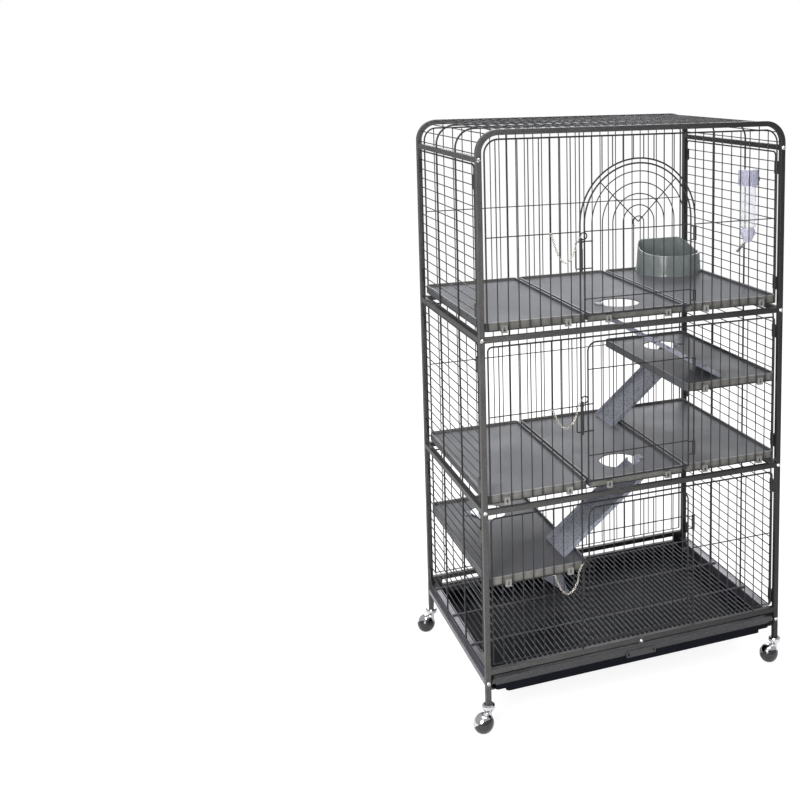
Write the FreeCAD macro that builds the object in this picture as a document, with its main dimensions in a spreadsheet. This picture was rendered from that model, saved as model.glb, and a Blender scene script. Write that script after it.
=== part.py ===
"""Three-tier wire pet cage on swivel casters.

Square steel tube frame, welded wire panels, three wire doors, eight plastic trays with
four ramps, a pull-out litter tray, a corner bowl and a hanging water bottle.
Origin: middle of the outline in plan, on the floor. X runs to the right along the front,
Y to the back, Z up. All lengths are in millimetres.
"""
import FreeCAD, Part
import math
import os
import Sketcher

V = FreeCAD.Vector
doc = FreeCAD.newDocument("PetCage")
sheet = doc.addObject("Spreadsheet::Sheet", "Sizes")

SIZES = [
    # frame
    ("tube", 12.7, "side of the square frame tube"),
    ("tube_wall", 1.2, "wall of the frame tube"),
    ("tube_round", 1.5, "outer edge radius of the frame tube"),
    ("post_x", 388.65, "post centre line, left and right"),
    ("post_y", 253.65, "post centre line, front and back"),
    ("foot_z", 66.5, "underside of the posts"),
    ("base_z", 118, "centre of the base side tubes"),
    ("level2_z", 531, "centre of the level 2 rails"),
    ("level3_z", 932, "centre of the level 3 rails"),
    ("roof_z", 1336, "centre of the top side rails"),
    ("cage_top", 1402, "top of the hoops"),
    ("hoop_bend", 47, "centre line radius of the hoop corners"),
    ("plug", 15, "length of the solid rail end"),
    ("spigot", 25, "length a post reaches into the one above"),
    ("socket_run", 24, "solid part of a post below its joint"),
    ("fit_gap", 0.05, "radial gap of a plug or pin in its socket"),
    ("shank", 6, "diameter of a frame bolt"),
    ("shank_reach", 24, "bolt length under the head"),
    ("head", 10, "diameter of a bolt head"),
    ("head_rim", 1.6, "straight part of a bolt head"),
    ("head_dome", 1.8, "domed part of a bolt head"),
    ("head_crown", 6.4, "diameter of the flat crown of a bolt head"),
    ("hex", 4.6, "width across the corners of the hex socket"),
    ("hex_depth", 2.4, "depth of the hex socket"),
    # base
    ("front_rail_z", 144, "centre of the front base rail"),
    ("back_rail_z", 150.5, "centre of the back base rail"),
    ("back_bar_low", 102, "underside of the lower bar at the back"),
    ("back_bar_high", 130, "top of the lower bar at the back"),
    ("gusset_in", 356, "inner edge of the gussets between the back rails"),
    ("gusset_thick", 3, "thickness of those gussets"),
    ("sheet_metal", 2, "thickness of the base side sheet"),
    ("plate_x", 386.4, "outer face of the base side sheet"),
    ("plate_top", 138.4, "top of the base side sheet"),
    ("flange_in", 370, "inner edge of the flange on the base side sheet"),
    ("runner_in", 355, "inner edge of the tray runner"),
    ("runner_z", 96, "top of the tray runner"),
    # wire
    ("wire", 2.6, "diameter of the mesh wire"),
    ("frame_wire", 4, "diameter of panel frame and opening wires"),
    ("hoop_wire", 4.5, "diameter of the two stiffening wires of walls and roof"),
    ("weld", 0.6, "depth that crossing wires are pressed into each other"),
    ("panel_x", 374, "outer wire of the front and back panels"),
    ("mesh_pitch", 25.4, "pitch of the upright wires"),
    ("opening_x", 148.5, "half width of the door openings"),
    ("opening_pitch", 24.75, "pitch of the back wires between the openings' lines"),
    ("anchor_x", 323.2, "upright wire that is carried on to the rails"),
    ("panel_bend", 32, "corner radius of the top panel"),
    ("panel_corner", 10, "corner radius of the other panels"),
    ("top3_z", 1380, "top wire of the upper panels"),
    ("mid3_z", 1162, "middle wire of the upper panels"),
    ("low3_z", 951, "bottom wire of the upper panels"),
    ("top2_z", 914.5, "top wire of the middle panels"),
    ("mid2_z", 751.5, "middle wire of the middle panels"),
    ("low2_z", 550, "bottom wire of the middle panels"),
    ("top1_z", 513, "top wire of the lower panels"),
    ("mid1_z", 350, "middle wire of the lower panels"),
    ("low1_z", 160, "bottom wire of the lower front panel"),
    ("back_low_z", 165.5, "bottom wire of the lower back panel"),
    ("side_low_z", 140, "bottom wire of the lower side walls"),
    ("side_pitch", 23.8, "pitch of the level wires of the side walls"),
    ("side_front", 225, "front edge wire of a side wall, ahead of the middle"),
    ("side_back", 239, "back edge wire of a side wall, behind the middle"),
    ("side_past", 5, "level wires beyond the edge wires"),
    ("side_margin", 12, "edge wire to the rail centre"),
    ("stay_front", 79.5, "front stiffening wire, ahead of the middle"),
    ("stay_back", 83.5, "back stiffening wire, behind the middle"),
    ("stay_foot", 132, "lower end of the stiffening wires"),
    ("grid_pitch", 12.7, "pitch of the floor grid"),
    ("grid_front", 236, "front cross wire of the floor grid"),
    ("grid_ahead", 109, "second cross wire, ahead of the middle"),
    ("grid_behind", 50, "third cross wire, behind the middle"),
    ("grid_back", 211, "back cross wire of the floor grid"),
    ("grid_past", 3, "bars of the floor grid beyond its cross wires"),
    ("grid_half", 335, "outer bar of the floor grid"),
    ("bracket_tall", 32, "height of a wall bracket"),
    ("bracket_in", 1.3, "inner face of a wall bracket, from the post's centre line"),
    ("bracket_out", 4.5, "outer face of a wall bracket, from the post's centre line"),
    ("bracket_past", 4, "wall bracket beyond the edge wire"),
    ("bracket3_high", 1285.5, "middle of the upper brackets of the upper walls"),
    ("bracket3_low", 996, "middle of the lower brackets of the upper walls"),
    ("bracket2_high", 873, "middle of the upper brackets of the middle walls"),
    ("bracket2_low", 589, "middle of the lower brackets of the middle walls"),
    ("bracket1_high", 468, "middle of the upper brackets of the lower walls"),
    ("bracket1_low", 170, "middle of the lower brackets of the lower walls"),
    # doors
    ("arch_z", 1177, "centre of the arched opening"),
    ("arch_door", 137.5, "radius of the arched door frame"),
    ("bar_pitch", 26.4, "pitch of the door wires"),
    ("door3_low", 966.5, "bottom wire of the arched door"),
    ("door3_rail", 1004, "lower level wire of the arched door"),
    ("hub_ring", 7, "radius of the small arc at the arch centre"),
    ("door_left", 131, "latch side of the lower doors"),
    ("door_right", 134, "hinge side of the lower doors"),
    ("door_bend", 22, "top corner radius of the lower doors"),
    ("door2_top", 901.5, "top wire of the middle door"),
    ("door2_low", 565.5, "bottom wire of the middle door"),
    ("door2_rail", 836.5, "upper level wire of the middle door"),
    ("door2_sill", 628, "lower level wire of the middle door"),
    ("door1_top", 500, "top wire of the lower door"),
    ("door1_low", 165, "bottom wire of the lower door"),
    ("door1_rail", 436, "upper level wire of the lower door"),
    ("door1_sill", 226, "lower level wire of the lower door"),
    ("sleeve", 8, "outer diameter of a hinge sleeve"),
    ("sleeve_long", 36, "length of a long hinge sleeve"),
    ("sleeve_short", 28, "length of a short hinge sleeve"),
    ("sleeve_gap", 0.06, "radial gap of a hinge sleeve on its wire"),
    ("latch_wire", 3, "diameter of the latch bracket wire"),
    ("latch_left", 161, "outer end of the latch bracket"),
    ("latch_front", 3.95, "latch bracket in front of the panel plane"),
    ("latch_bolt", 6, "diameter of the latch bolt"),
    ("latch_sleeve", 7.6, "diameter of the thick part of the latch bolt"),
    ("latch_eye", 9, "outer diameter of the eye round the latch bolt"),
    ("latch_eye_tall", 4, "height of the eye"),
    ("latch_travel", 14, "lift of the latch bolt"),
    ("latch_depth", 6.9, "latch bolt in front of the panel plane"),
    ("pull_ring", 8, "mean radius of the pull ring"),
    ("pull_wire", 3, "wire of the pull ring"),
    ("latch3_low", 1077, "lower arm of the upper latch"),
    ("latch3_high", 1140, "upper arm of the upper latch"),
    ("latch2_low", 690, "lower arm of the middle latch"),
    ("latch2_high", 755, "upper arm of the middle latch"),
    ("latch1_low", 291, "lower arm of the lower latch"),
    ("latch1_high", 355, "upper arm of the lower latch"),
    # safety chains
    ("link_wire", 1.4, "wire of a chain link"),
    ("link_half", 1.9, "mean end radius of a chain link"),
    ("link_straight", 3.2, "straight side of a chain link"),
    ("link_pitch", 5.35, "spacing of the chain links"),
    ("chain_start", 221.6, "upright wire that carries the chain's ring"),
    ("chain_end", 164, "end of the chain, beside the latch bracket"),
    ("snap_ring", 4.6, "mean radius of the ring at the chain start"),
    # trays
    ("tray_wide", 249, "tray width"),
    ("tray_deep", 499, "tray depth"),
    ("tray_tall", 20, "tray height"),
    ("tray_pitch", 257, "spacing of the trays"),
    ("tray_wall", 3, "thickness of the tray walls"),
    ("tray_floor", 2.5, "thickness of the tray floor"),
    ("tray_lip", 6, "rim above the tray floor"),
    ("tray_corner", 12, "corner radius of a tray"),
    ("tray3_z", 949, "underside of the level 3 trays"),
    ("tray2_z", 547, "underside of the level 2 trays"),
    ("shelf2_z", 750, "underside of the middle shelf"),
    ("shelf1_z", 348.5, "underside of the lower shelf"),
    ("hole", 50, "radius of the passage holes"),
    ("hole_y", 140, "passage holes, from the middle"),
    ("clip_wide", 14, "width of a tray clip"),
    ("clip_tall", 17, "height of a tray clip"),
    ("clip_drop", 4, "clip below the tray"),
    ("clip_front", 257.4, "outer face of a clip"),
    ("clip_x", 77.5, "clips from the tray centre"),
    ("clip_back_x", 87, "back clips of the middle trays"),
    ("clip_window", 5, "width of the clip window"),
    # ramps
    ("ramp_wide", 114, "ramp width"),
    ("ramp_thick", 5, "ramp thickness, measured upright"),
    ("ramp_lip", 8, "side lip of a ramp"),
    ("ramp_wall", 4, "thickness of the side lip"),
    ("ramp_hang", 25, "ramp end below the floor it hangs from"),
    ("tongue_wide", 24, "width of the ramp hook"),
    ("tongue_thick", 3, "thickness of the ramp hook"),
    ("tongue_edge", 1.8, "hook from the edge of the hole"),
    ("tongue_reach", 13, "hook over the tray"),
    ("ramp1_foot", 250, "foot of the upper ramp from its hole"),
    ("ramp2_foot", 166.4, "foot of the second ramp from its hole"),
    ("ramp3_foot", 175, "foot of the third ramp from its hole"),
    ("ramp4_foot", 206, "foot of the lowest ramp from its hole"),
    ("ramp1_shift", 14, "upper ramp ahead of its hole"),
    ("ramp2_shift", 22, "second ramp behind its hole"),
    ("ramp4_turn", 13, "turn of the lowest ramp in plan, in degrees"),
    # litter tray
    ("pan_half", 370, "half width of the litter tray"),
    ("pan_deep_half", 343, "half width of its deep part"),
    ("pan_low", 87.5, "underside of the litter tray"),
    ("pan_top", 108.5, "rim of the litter tray"),
    ("pan_front", 256, "front of the litter tray"),
    ("pan_back", 244, "back of the litter tray"),
    ("pan_wall", 2.5, "wall of the litter tray"),
    ("pan_corner", 8, "corner radius of the litter tray"),
    ("bar_half", 380, "half length of the litter tray's front bar"),
    ("bar_face", 259.7, "front face of the bar"),
    ("bar_deep", 12.7, "depth of the bar"),
    ("bar_low", 114.8, "underside of the bar"),
    ("bar_top", 127.5, "top of the bar"),
    ("bar_web", 3.5, "thickness of the web under the bar"),
    ("bar_recess", 3.7, "web behind the face of the bar"),
    ("bar_flange", 2, "thickness of the flange on the tray rim"),
    ("bar_reach", 16.3, "depth of the flange"),
    ("bar_chamfer", 6, "chamfer at the bar ends"),
    ("handle_left", 37, "handle plate, left of the middle"),
    ("handle_right", 42, "handle plate, right of the middle"),
    ("handle_low", 104, "underside of the handle plate"),
    ("handle_high", 121, "top of the handle plate"),
    ("handle_thick", 1.8, "thickness of the handle plate"),
    ("handle_slot", 4, "width of the slots in the handle plate"),
    ("turn_x", 2.4, "screw of the turn button"),
    ("turn_z", 141.5, "height of that screw"),
    ("turn_half", 10, "half width of the turn button at its foot"),
    ("turn_top", 5.5, "half width of the turn button at its top"),
    ("turn_up", 8.5, "turn button above its screw"),
    ("turn_down", 12.4, "turn button below its screw"),
    ("turn_thick", 2, "thickness of the turn button"),
    ("turn_screw", 4, "diameter of the screw"),
    ("turn_head", 8, "diameter of the screw head"),
    # casters
    ("ball", 24, "radius of the caster ball"),
    ("ball_wall", 2, "thickness of the hood"),
    ("trail", 15, "ball centre from the swivel axis"),
    ("tilt", 40, "tilt of the wheel axle from upright, in degrees"),
    ("ball_split", 0.4, "gap between hood and wheel"),
    ("axle", 6, "diameter of the wheel axle"),
    ("axle_down", 15, "axle below the ball centre"),
    ("bore_extra", 0.5, "wheel bore beyond the end of the axle"),
    ("neck", 7, "radius of the swivel neck"),
    ("neck_low", 37, "lower end of the neck"),
    ("cup_low", 48, "underside of the swivel cup"),
    ("cup_mid", 57, "widest height of the swivel cup"),
    ("cup_rim", 63.5, "rim of the swivel cup"),
    ("cup_small", 9, "lower radius of the swivel cup"),
    ("cup_big", 15, "upper radius of the swivel cup"),
    ("cup_crown", 11.5, "radius of the cup's crown"),
    ("stem", 8, "diameter of the swivel stem"),
    ("stem_up", 30, "stem inside the post"),
    ("stem_plug", 36, "solid foot of the post"),
    ("swivel_even", 19.5, "swivel of three casters from the X axis, in degrees"),
    ("swivel_front_right", 170, "swivel of the front right caster, in degrees"),
    # bowl and bottle
    ("bowl_x", 301, "bowl centre"),
    ("bowl_y", 184, "bowl centre"),
    ("bowl_r", 91, "radius of the bowl's base"),
    ("bowl_lean", 6, "how far the bowl is drawn in at its top"),
    ("bowl_right", 76.5, "flat side of the bowl, from its centre"),
    ("bowl_back", 61.5, "flat back of the bowl, from its centre"),
    ("bowl_corner", 14, "radius between the flat side and the flat back"),
    ("bowl_blank", 90, "height of the bowl before its rim is cut"),
    ("bowl_tall", 56, "height of the bowl's rim at its lowest"),
    ("bowl_lowest", 76, "that lowest place, ahead of the centre"),
    ("bowl_sweep", 333, "radius of the rim's upward sweep"),
    ("bowl_wall", 3.5, "bowl wall"),
    ("bowl_floor", 5, "bowl floor"),
    ("bowl_foot", 6, "height of the band round the bowl's foot"),
    ("bowl_band", 1.5, "how far that band stands out"),
    ("bottle_x", 358, "bottle axis"),
    ("bottle_y", 148, "bottle axis, ahead of the middle"),
    ("bottle_r", 19.5, "bottle radius"),
    ("bottle_wall", 2, "bottle wall"),
    ("bottle_low", 1124, "lower shoulder of the bottle"),
    ("bottle_neck_z", 1108, "lower end of the bottle neck"),
    ("bottle_neck_r", 15, "radius of the bottle neck"),
    ("bottle_top", 1271, "top of the bottle"),
    ("cap_low", 1235, "lower rim of the bottle cap"),
    ("cap_top", 1275, "top of the bottle cap"),
    ("cap_r", 24.5, "radius of the bottle cap"),
    ("nut_low", 1090, "lower end of the spout nut"),
    ("nut_r", 17.5, "radius of the spout nut"),
    ("nut_small", 9, "lower radius of the spout nut"),
    ("spout_r", 4, "radius of the spout"),
    ("spout_long", 44, "length of the spout"),
    ("hook_wide", 10, "width of the bottle hook"),
    ("hook_thick", 2, "thickness of the bottle hook"),
    ("hook_down", 9, "bottle hook behind the wall wire"),
    ("hook_gap", 0.2, "gap between the hook and the wall wire"),
    ("spout_turn", 45, "slope of the spout, in degrees"),
]
for row, (alias, value, note) in enumerate(SIZES, start=1):
    sheet.set(f"A{row}", note)
    sheet.set(f"B{row}", str(value))
    sheet.setAlias(f"B{row}", alias)
doc.recompute()


class Size:
    """A length with its value and the sheet expression that it comes from."""

    def __init__(self, value, text):
        self.value = float(value)
        self.text = text

    def __add__(self, other):
        other = as_size(other)
        return Size(self.value + other.value, f"({self.text} + {other.text})")

    def __sub__(self, other):
        other = as_size(other)
        return Size(self.value - other.value, f"({self.text} - {other.text})")

    def __mul__(self, other):
        other = as_size(other)
        return Size(self.value * other.value, f"({self.text} * {other.text})")

    def __truediv__(self, other):
        other = as_size(other)
        return Size(self.value / other.value, f"({self.text} / {other.text})")

    def __neg__(self):
        return Size(-self.value, f"(0 - {self.text})")


def as_size(number):
    return number if isinstance(number, Size) else Size(number, repr(float(number)))


class Sheet:
    """The sheet's cells as Size values."""

    def __getattr__(self, alias):
        return Size(getattr(sheet, alias), f"Sizes.{alias}")


s = Sheet()


class Lengths:
    """The sheet's cells as plain numbers, for shapes made in code."""

    def __getattr__(self, alias):
        return float(getattr(sheet, alias))


n = Lengths()
zero = as_size(0)


# Helpers: sketches, bodies and primitives bound to the sheet

def bind(thing, **paths):
    for path, size in paths.items():
        thing.setExpression(path.replace("__", "."), as_size(size).text)


def place(thing, x=zero, y=zero, z=zero, axis=None, angle=0):
    """Puts a body or primitive at a point given by the sheet, turned by a fixed rotation."""
    x, y, z = as_size(x), as_size(y), as_size(z)
    turn = FreeCAD.Rotation(axis, angle) if axis else FreeCAD.Rotation()
    thing.Placement = FreeCAD.Placement(V(x.value, y.value, z.value), turn)
    bind(thing, Placement__Base__x=x, Placement__Base__y=y, Placement__Base__z=z)
    return thing


def new_body(name):
    body = doc.addObject("PartDesign::Body", name)
    body.AllowCompound = True
    return body


def sketch_on(body, role, lift=zero):
    """A sketch on one of the body's own planes, lifted along the plane's normal."""
    lift = as_size(lift)
    sketch = body.newObject("Sketcher::SketchObject", "Outline")
    plane = [item for item in body.Origin.OriginFeatures if item.Role == role][0]
    sketch.AttachmentSupport = [(plane, "")]
    sketch.MapMode = "FlatFace"
    sketch.AttachmentOffset = FreeCAD.Placement(V(0, 0, lift.value), FreeCAD.Rotation())
    bind(sketch, AttachmentOffset__Base__z=lift)
    return sketch


def constrain(sketch, kind, *where, size=None):
    if size is None:
        return sketch.addConstraint(Sketcher.Constraint(kind, *where))
    index = sketch.addConstraint(Sketcher.Constraint(kind, *where, size.value))
    sketch.setExpression(f"Constraints[{index}]", size.text)
    return index


def rounded_rectangle(sketch, wide, tall, radius, middle_x=zero, middle_y=zero):
    wide, tall, radius = as_size(wide), as_size(tall), as_size(radius)
    middle_x, middle_y = as_size(middle_x), as_size(middle_y)
    x0, x1 = middle_x.value - wide.value / 2, middle_x.value + wide.value / 2
    y0, y1 = middle_y.value - tall.value / 2, middle_y.value + tall.value / 2
    r = radius.value
    corners = [(x1 - r, y0 + r), (x1 - r, y1 - r), (x0 + r, y1 - r), (x0 + r, y0 + r)]
    sides = [((x0 + r, y0), (x1 - r, y0)), ((x1, y0 + r), (x1, y1 - r)),
             ((x1 - r, y1), (x0 + r, y1)), ((x0, y1 - r), (x0, y0 + r))]
    first = len(sketch.Geometry)
    shapes = []
    for quarter, ((start, end), (cx, cy)) in enumerate(zip(sides, corners)):
        shapes.append(Part.LineSegment(V(start[0], start[1], 0), V(end[0], end[1], 0)))
        circle = Part.Circle(V(cx, cy, 0), V(0, 0, 1), r)
        begin = math.pi / 2 * (quarter - 1)
        shapes.append(Part.ArcOfCircle(circle, begin, begin + math.pi / 2))
    sketch.addGeometry(shapes, False)
    for step in range(4):
        line, arc, following = first + 2 * step, first + 2 * step + 1, first + (2 * step + 2) % 8
        constrain(sketch, "Tangent", line, 2, arc, 1)
        constrain(sketch, "Tangent", arc, 2, following, 1)
        constrain(sketch, "Horizontal" if step % 2 == 0 else "Vertical", line)
        constrain(sketch, "Radius", arc, size=radius)
    constrain(sketch, "DistanceX", -1, 1, first + 6, 1, size=middle_x - wide / 2)
    constrain(sketch, "DistanceX", first + 6, 1, first + 2, 1, size=wide)
    constrain(sketch, "DistanceY", -1, 1, first, 1, size=middle_y - tall / 2)
    constrain(sketch, "DistanceY", first, 1, first + 4, 1, size=tall)


def polygon(sketch, corners):
    """Closed outline through corners given as pairs of Size values."""
    corners = [(as_size(x), as_size(y)) for x, y in corners]
    first = len(sketch.Geometry)
    count = len(corners)
    lines = []
    for index, (x, y) in enumerate(corners):
        following = corners[(index + 1) % count]
        end = V(following[0].value, following[1].value, 0)
        lines.append(Part.LineSegment(V(x.value, y.value, 0), end))
    sketch.addGeometry(lines, False)
    for index, (x, y) in enumerate(corners):
        constrain(sketch, "Coincident", first + index, 2, first + (index + 1) % count, 1)
        constrain(sketch, "DistanceX", -1, 1, first + index, 1, size=x)
        constrain(sketch, "DistanceY", -1, 1, first + index, 1, size=y)


def circle_at(sketch, radius, x=zero, y=zero):
    radius, x, y = as_size(radius), as_size(x), as_size(y)
    index = sketch.addGeometry(Part.Circle(V(x.value, y.value, 0), V(0, 0, 1), radius.value), False)
    constrain(sketch, "Radius", index, size=radius)
    constrain(sketch, "DistanceX", -1, 1, index, 3, size=x)
    constrain(sketch, "DistanceY", -1, 1, index, 3, size=y)


def pad(body, sketch, length, reverse=False, middle=False):
    feature = body.newObject("PartDesign::Pad", "Pad")
    feature.Profile = sketch
    feature.Reversed = reverse
    feature.Midplane = middle
    bind(feature, Length=length)
    return feature


def pocket(body, sketch, length=None, reverse=False, middle=False):
    """Cuts against the sketch normal, or along it when reversed; right through without a length."""
    feature = body.newObject("PartDesign::Pocket", "Pocket")
    feature.Profile = sketch
    feature.Reversed = reverse
    feature.Midplane = middle
    if length is None:
        feature.Type = "ThroughAll"
    else:
        bind(feature, Length=length)
    return feature


def box(name, low, high):
    """Part box between two corners given as triples of Size values."""
    low, high = [as_size(c) for c in low], [as_size(c) for c in high]
    block = doc.addObject("Part::Box", name)
    bind(block, Length=high[0] - low[0], Width=high[1] - low[1], Height=high[2] - low[2])
    return place(block, *low)


def cylinder(name, radius, height, x=zero, y=zero, z=zero, axis=None, angle=0):
    rod = doc.addObject("Part::Cylinder", name)
    bind(rod, Radius=radius, Height=height)
    return place(rod, x, y, z, axis, angle)


def cone(name, low_radius, high_radius, height, x=zero, y=zero, z=zero, axis=None, angle=0):
    taper = doc.addObject("Part::Cone", name)
    bind(taper, Radius1=low_radius, Radius2=high_radius, Height=height)
    return place(taper, x, y, z, axis, angle)


def cut(name, base, tool):
    result = doc.addObject("Part::Cut", name)
    result.Base = base
    result.Tool = tool
    return result


def join(name, pieces):
    result = doc.addObject("Part::MultiFuse", name)
    result.Shapes = pieces
    return result


def group(name, pieces):
    """Separate solids that share one node."""
    result = doc.addObject("Part::Compound", name)
    result.Links = pieces
    return result


NODES = []


def node(thing, label):
    thing.Label = label
    NODES.append(thing)
    return thing


def shape_node(label, shape):
    """A sub-part whose shape is made in code from the sheet's sizes."""
    thing = doc.addObject("Part::Feature", label)
    thing.Shape = shape
    thing.Placement = FreeCAD.Placement()
    return node(thing, label)


# Frame: tubes, posts, hoops

ALONG_X = (V(0, 1, 0), 90)
ALONG_Y = (V(1, 0, 0), -90)
rail_run = s.post_y - s.tube / 2
cross_run = s.post_x - s.tube / 2
bore = s.tube - s.tube_wall * 2
spigot_side = bore - s.fit_gap * 2
bolt_bore = s.shank / 2 + s.fit_gap


def tube_profile(sketch, side_a=s.tube, side_b=s.tube):
    rounded_rectangle(sketch, side_a, side_b, s.tube_round)
    rounded_rectangle(sketch, side_a - s.tube_wall * 2, side_b - s.tube_wall * 2, s.tube_round / 3)


def cross_rail(name, y, z, tall=s.tube):
    """Open tube along X between the inner faces of two posts."""
    body = new_body(name)
    profile = sketch_on(body, "YZ_Plane", -cross_run)
    tube_profile(profile, s.tube, tall)
    pad(body, profile, cross_run * 2)
    return place(body, zero, y, z)


def side_rail(name, x, z):
    """Tube along Y with solid ends that take the frame bolts."""
    body = new_body(name)
    profile = sketch_on(body, "XZ_Plane")
    tube_profile(profile)
    pad(body, profile, rail_run * 2, middle=True)
    for side in (-1, 1):
        end = sketch_on(body, "XZ_Plane", rail_run * side)
        rounded_rectangle(end, bore, bore, s.tube_round / 3)
        pad(body, end, s.plug, reverse=side > 0)
    holes = sketch_on(body, "XZ_Plane")
    circle_at(holes, bolt_bore)
    pocket(body, holes, rail_run * 2 + s.tube, middle=True)
    return place(body, x, zero, z)


def make_level(label, z):
    pieces = [cross_rail(f"Cross{label}", s.post_y * side, z) for side in (-1, 1)]
    pieces += [side_rail(f"Side{label}", s.post_x * side, z) for side in (-1, 1)]
    return node(group(f"Level{label}", pieces), label)


make_level("level2_rails", s.level2_z)
make_level("level3_rails", s.level3_z)
top_rails = [side_rail("TopRail", s.post_x * side, s.roof_z) for side in (-1, 1)]
node(group("TopSideRails", top_rails), "top_side_rails")


def make_posts(label, low, joint, bolt_levels, foot=False):
    """Four upright tubes with a plug at the top that reaches into the next tube."""
    posts = []
    for side_x in (-1, 1):
        for side_y in (-1, 1):
            body = new_body(f"Post{label}")
            profile = sketch_on(body, "XY_Plane", low)
            tube_profile(profile)
            pad(body, profile, joint - low)
            core = sketch_on(body, "XY_Plane", joint)
            rounded_rectangle(core, bore, bore, s.tube_round / 3)
            pad(body, core, s.socket_run, reverse=True)
            plug = sketch_on(body, "XY_Plane", joint)
            rounded_rectangle(plug, spigot_side, spigot_side, s.tube_round / 3)
            pad(body, plug, s.spigot)
            if foot:
                core = sketch_on(body, "XY_Plane", low)
                rounded_rectangle(core, bore, bore, s.tube_round / 3)
                pad(body, core, s.stem_plug)
                socket = sketch_on(body, "XY_Plane", low)
                circle_at(socket, s.stem / 2 + s.fit_gap)
                pocket(body, socket, s.stem_plug + s.tube, reverse=True)
            holes = sketch_on(body, "XZ_Plane")
            for level in bolt_levels:
                circle_at(holes, bolt_bore, zero, level)
            pocket(body, holes, s.tube * 2, middle=True)
            posts.append(place(body, s.post_x * side_x, s.post_y * side_y, zero))
    return node(group(f"Posts{label}", posts), label)


level2_joint = s.level2_z + s.tube / 2
level3_joint = s.level3_z + s.tube / 2
make_posts("lower_posts", s.foot_z, level2_joint, [s.base_z, s.level2_z], foot=True)
make_posts("middle_posts", level2_joint, level3_joint, [s.level3_z])


def make_hoop(label, side_y):
    """Bent tube: two legs and the top of the cage in one piece."""
    body = new_body(f"Hoop{label}")
    top = s.cage_top - s.tube / 2
    path = sketch_on(body, "XZ_Plane")
    x, bend, low, high = s.post_x.value, s.hoop_bend.value, level3_joint.value, top.value
    spring = high - bend
    corner = Part.Circle(V(bend - x, spring, 0), V(0, 0, 1), bend)
    far_corner = Part.Circle(V(x - bend, spring, 0), V(0, 0, 1), bend)
    path.addGeometry([
        Part.LineSegment(V(-x, low, 0), V(-x, spring, 0)),
        Part.ArcOfCircle(corner, math.pi / 2, math.pi),
        Part.LineSegment(V(bend - x, high, 0), V(x - bend, high, 0)),
        Part.ArcOfCircle(far_corner, 0, math.pi / 2),
        Part.LineSegment(V(x, spring, 0), V(x, low, 0)),
    ], False)
    for one, end, other, start in [(0, 2, 1, 2), (1, 1, 2, 1), (2, 2, 3, 2), (3, 1, 4, 1)]:
        constrain(path, "Tangent", one, end, other, start)
    constrain(path, "Vertical", 0)
    constrain(path, "Vertical", 4)
    constrain(path, "Radius", 1, size=s.hoop_bend)
    constrain(path, "Radius", 3, size=s.hoop_bend)
    constrain(path, "DistanceX", -1, 1, 0, 1, size=-s.post_x)
    constrain(path, "DistanceY", -1, 1, 0, 1, size=level3_joint)
    constrain(path, "DistanceX", -1, 1, 4, 2, size=s.post_x)
    constrain(path, "DistanceY", -1, 1, 4, 2, size=level3_joint)
    constrain(path, "DistanceY", -1, 1, 2, 1, size=top)
    outer = sketch_on(body, "XY_Plane", level3_joint)
    rounded_rectangle(outer, s.tube, s.tube, s.tube_round, -s.post_x)
    inner = sketch_on(body, "XY_Plane", level3_joint)
    rounded_rectangle(inner, bore, bore, s.tube_round / 3, -s.post_x)
    doc.recompute()
    tube = body.newObject("PartDesign::AdditivePipe", "Tube")
    tube.Profile = outer
    tube.Spine = path
    doc.recompute()
    hollow = body.newObject("PartDesign::SubtractivePipe", "Hollow")
    hollow.Profile = inner
    hollow.Spine = path
    doc.recompute()
    holes = sketch_on(body, "XZ_Plane")
    circle_at(holes, bolt_bore, -s.post_x, s.roof_z)
    circle_at(holes, bolt_bore, s.post_x, s.roof_z)
    pocket(body, holes, s.tube * 2, middle=True)
    place(body, zero, s.post_y * side_y, zero)
    return node(body, label)


make_hoop("front_hoop", -1)
make_hoop("back_hoop", 1)


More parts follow.
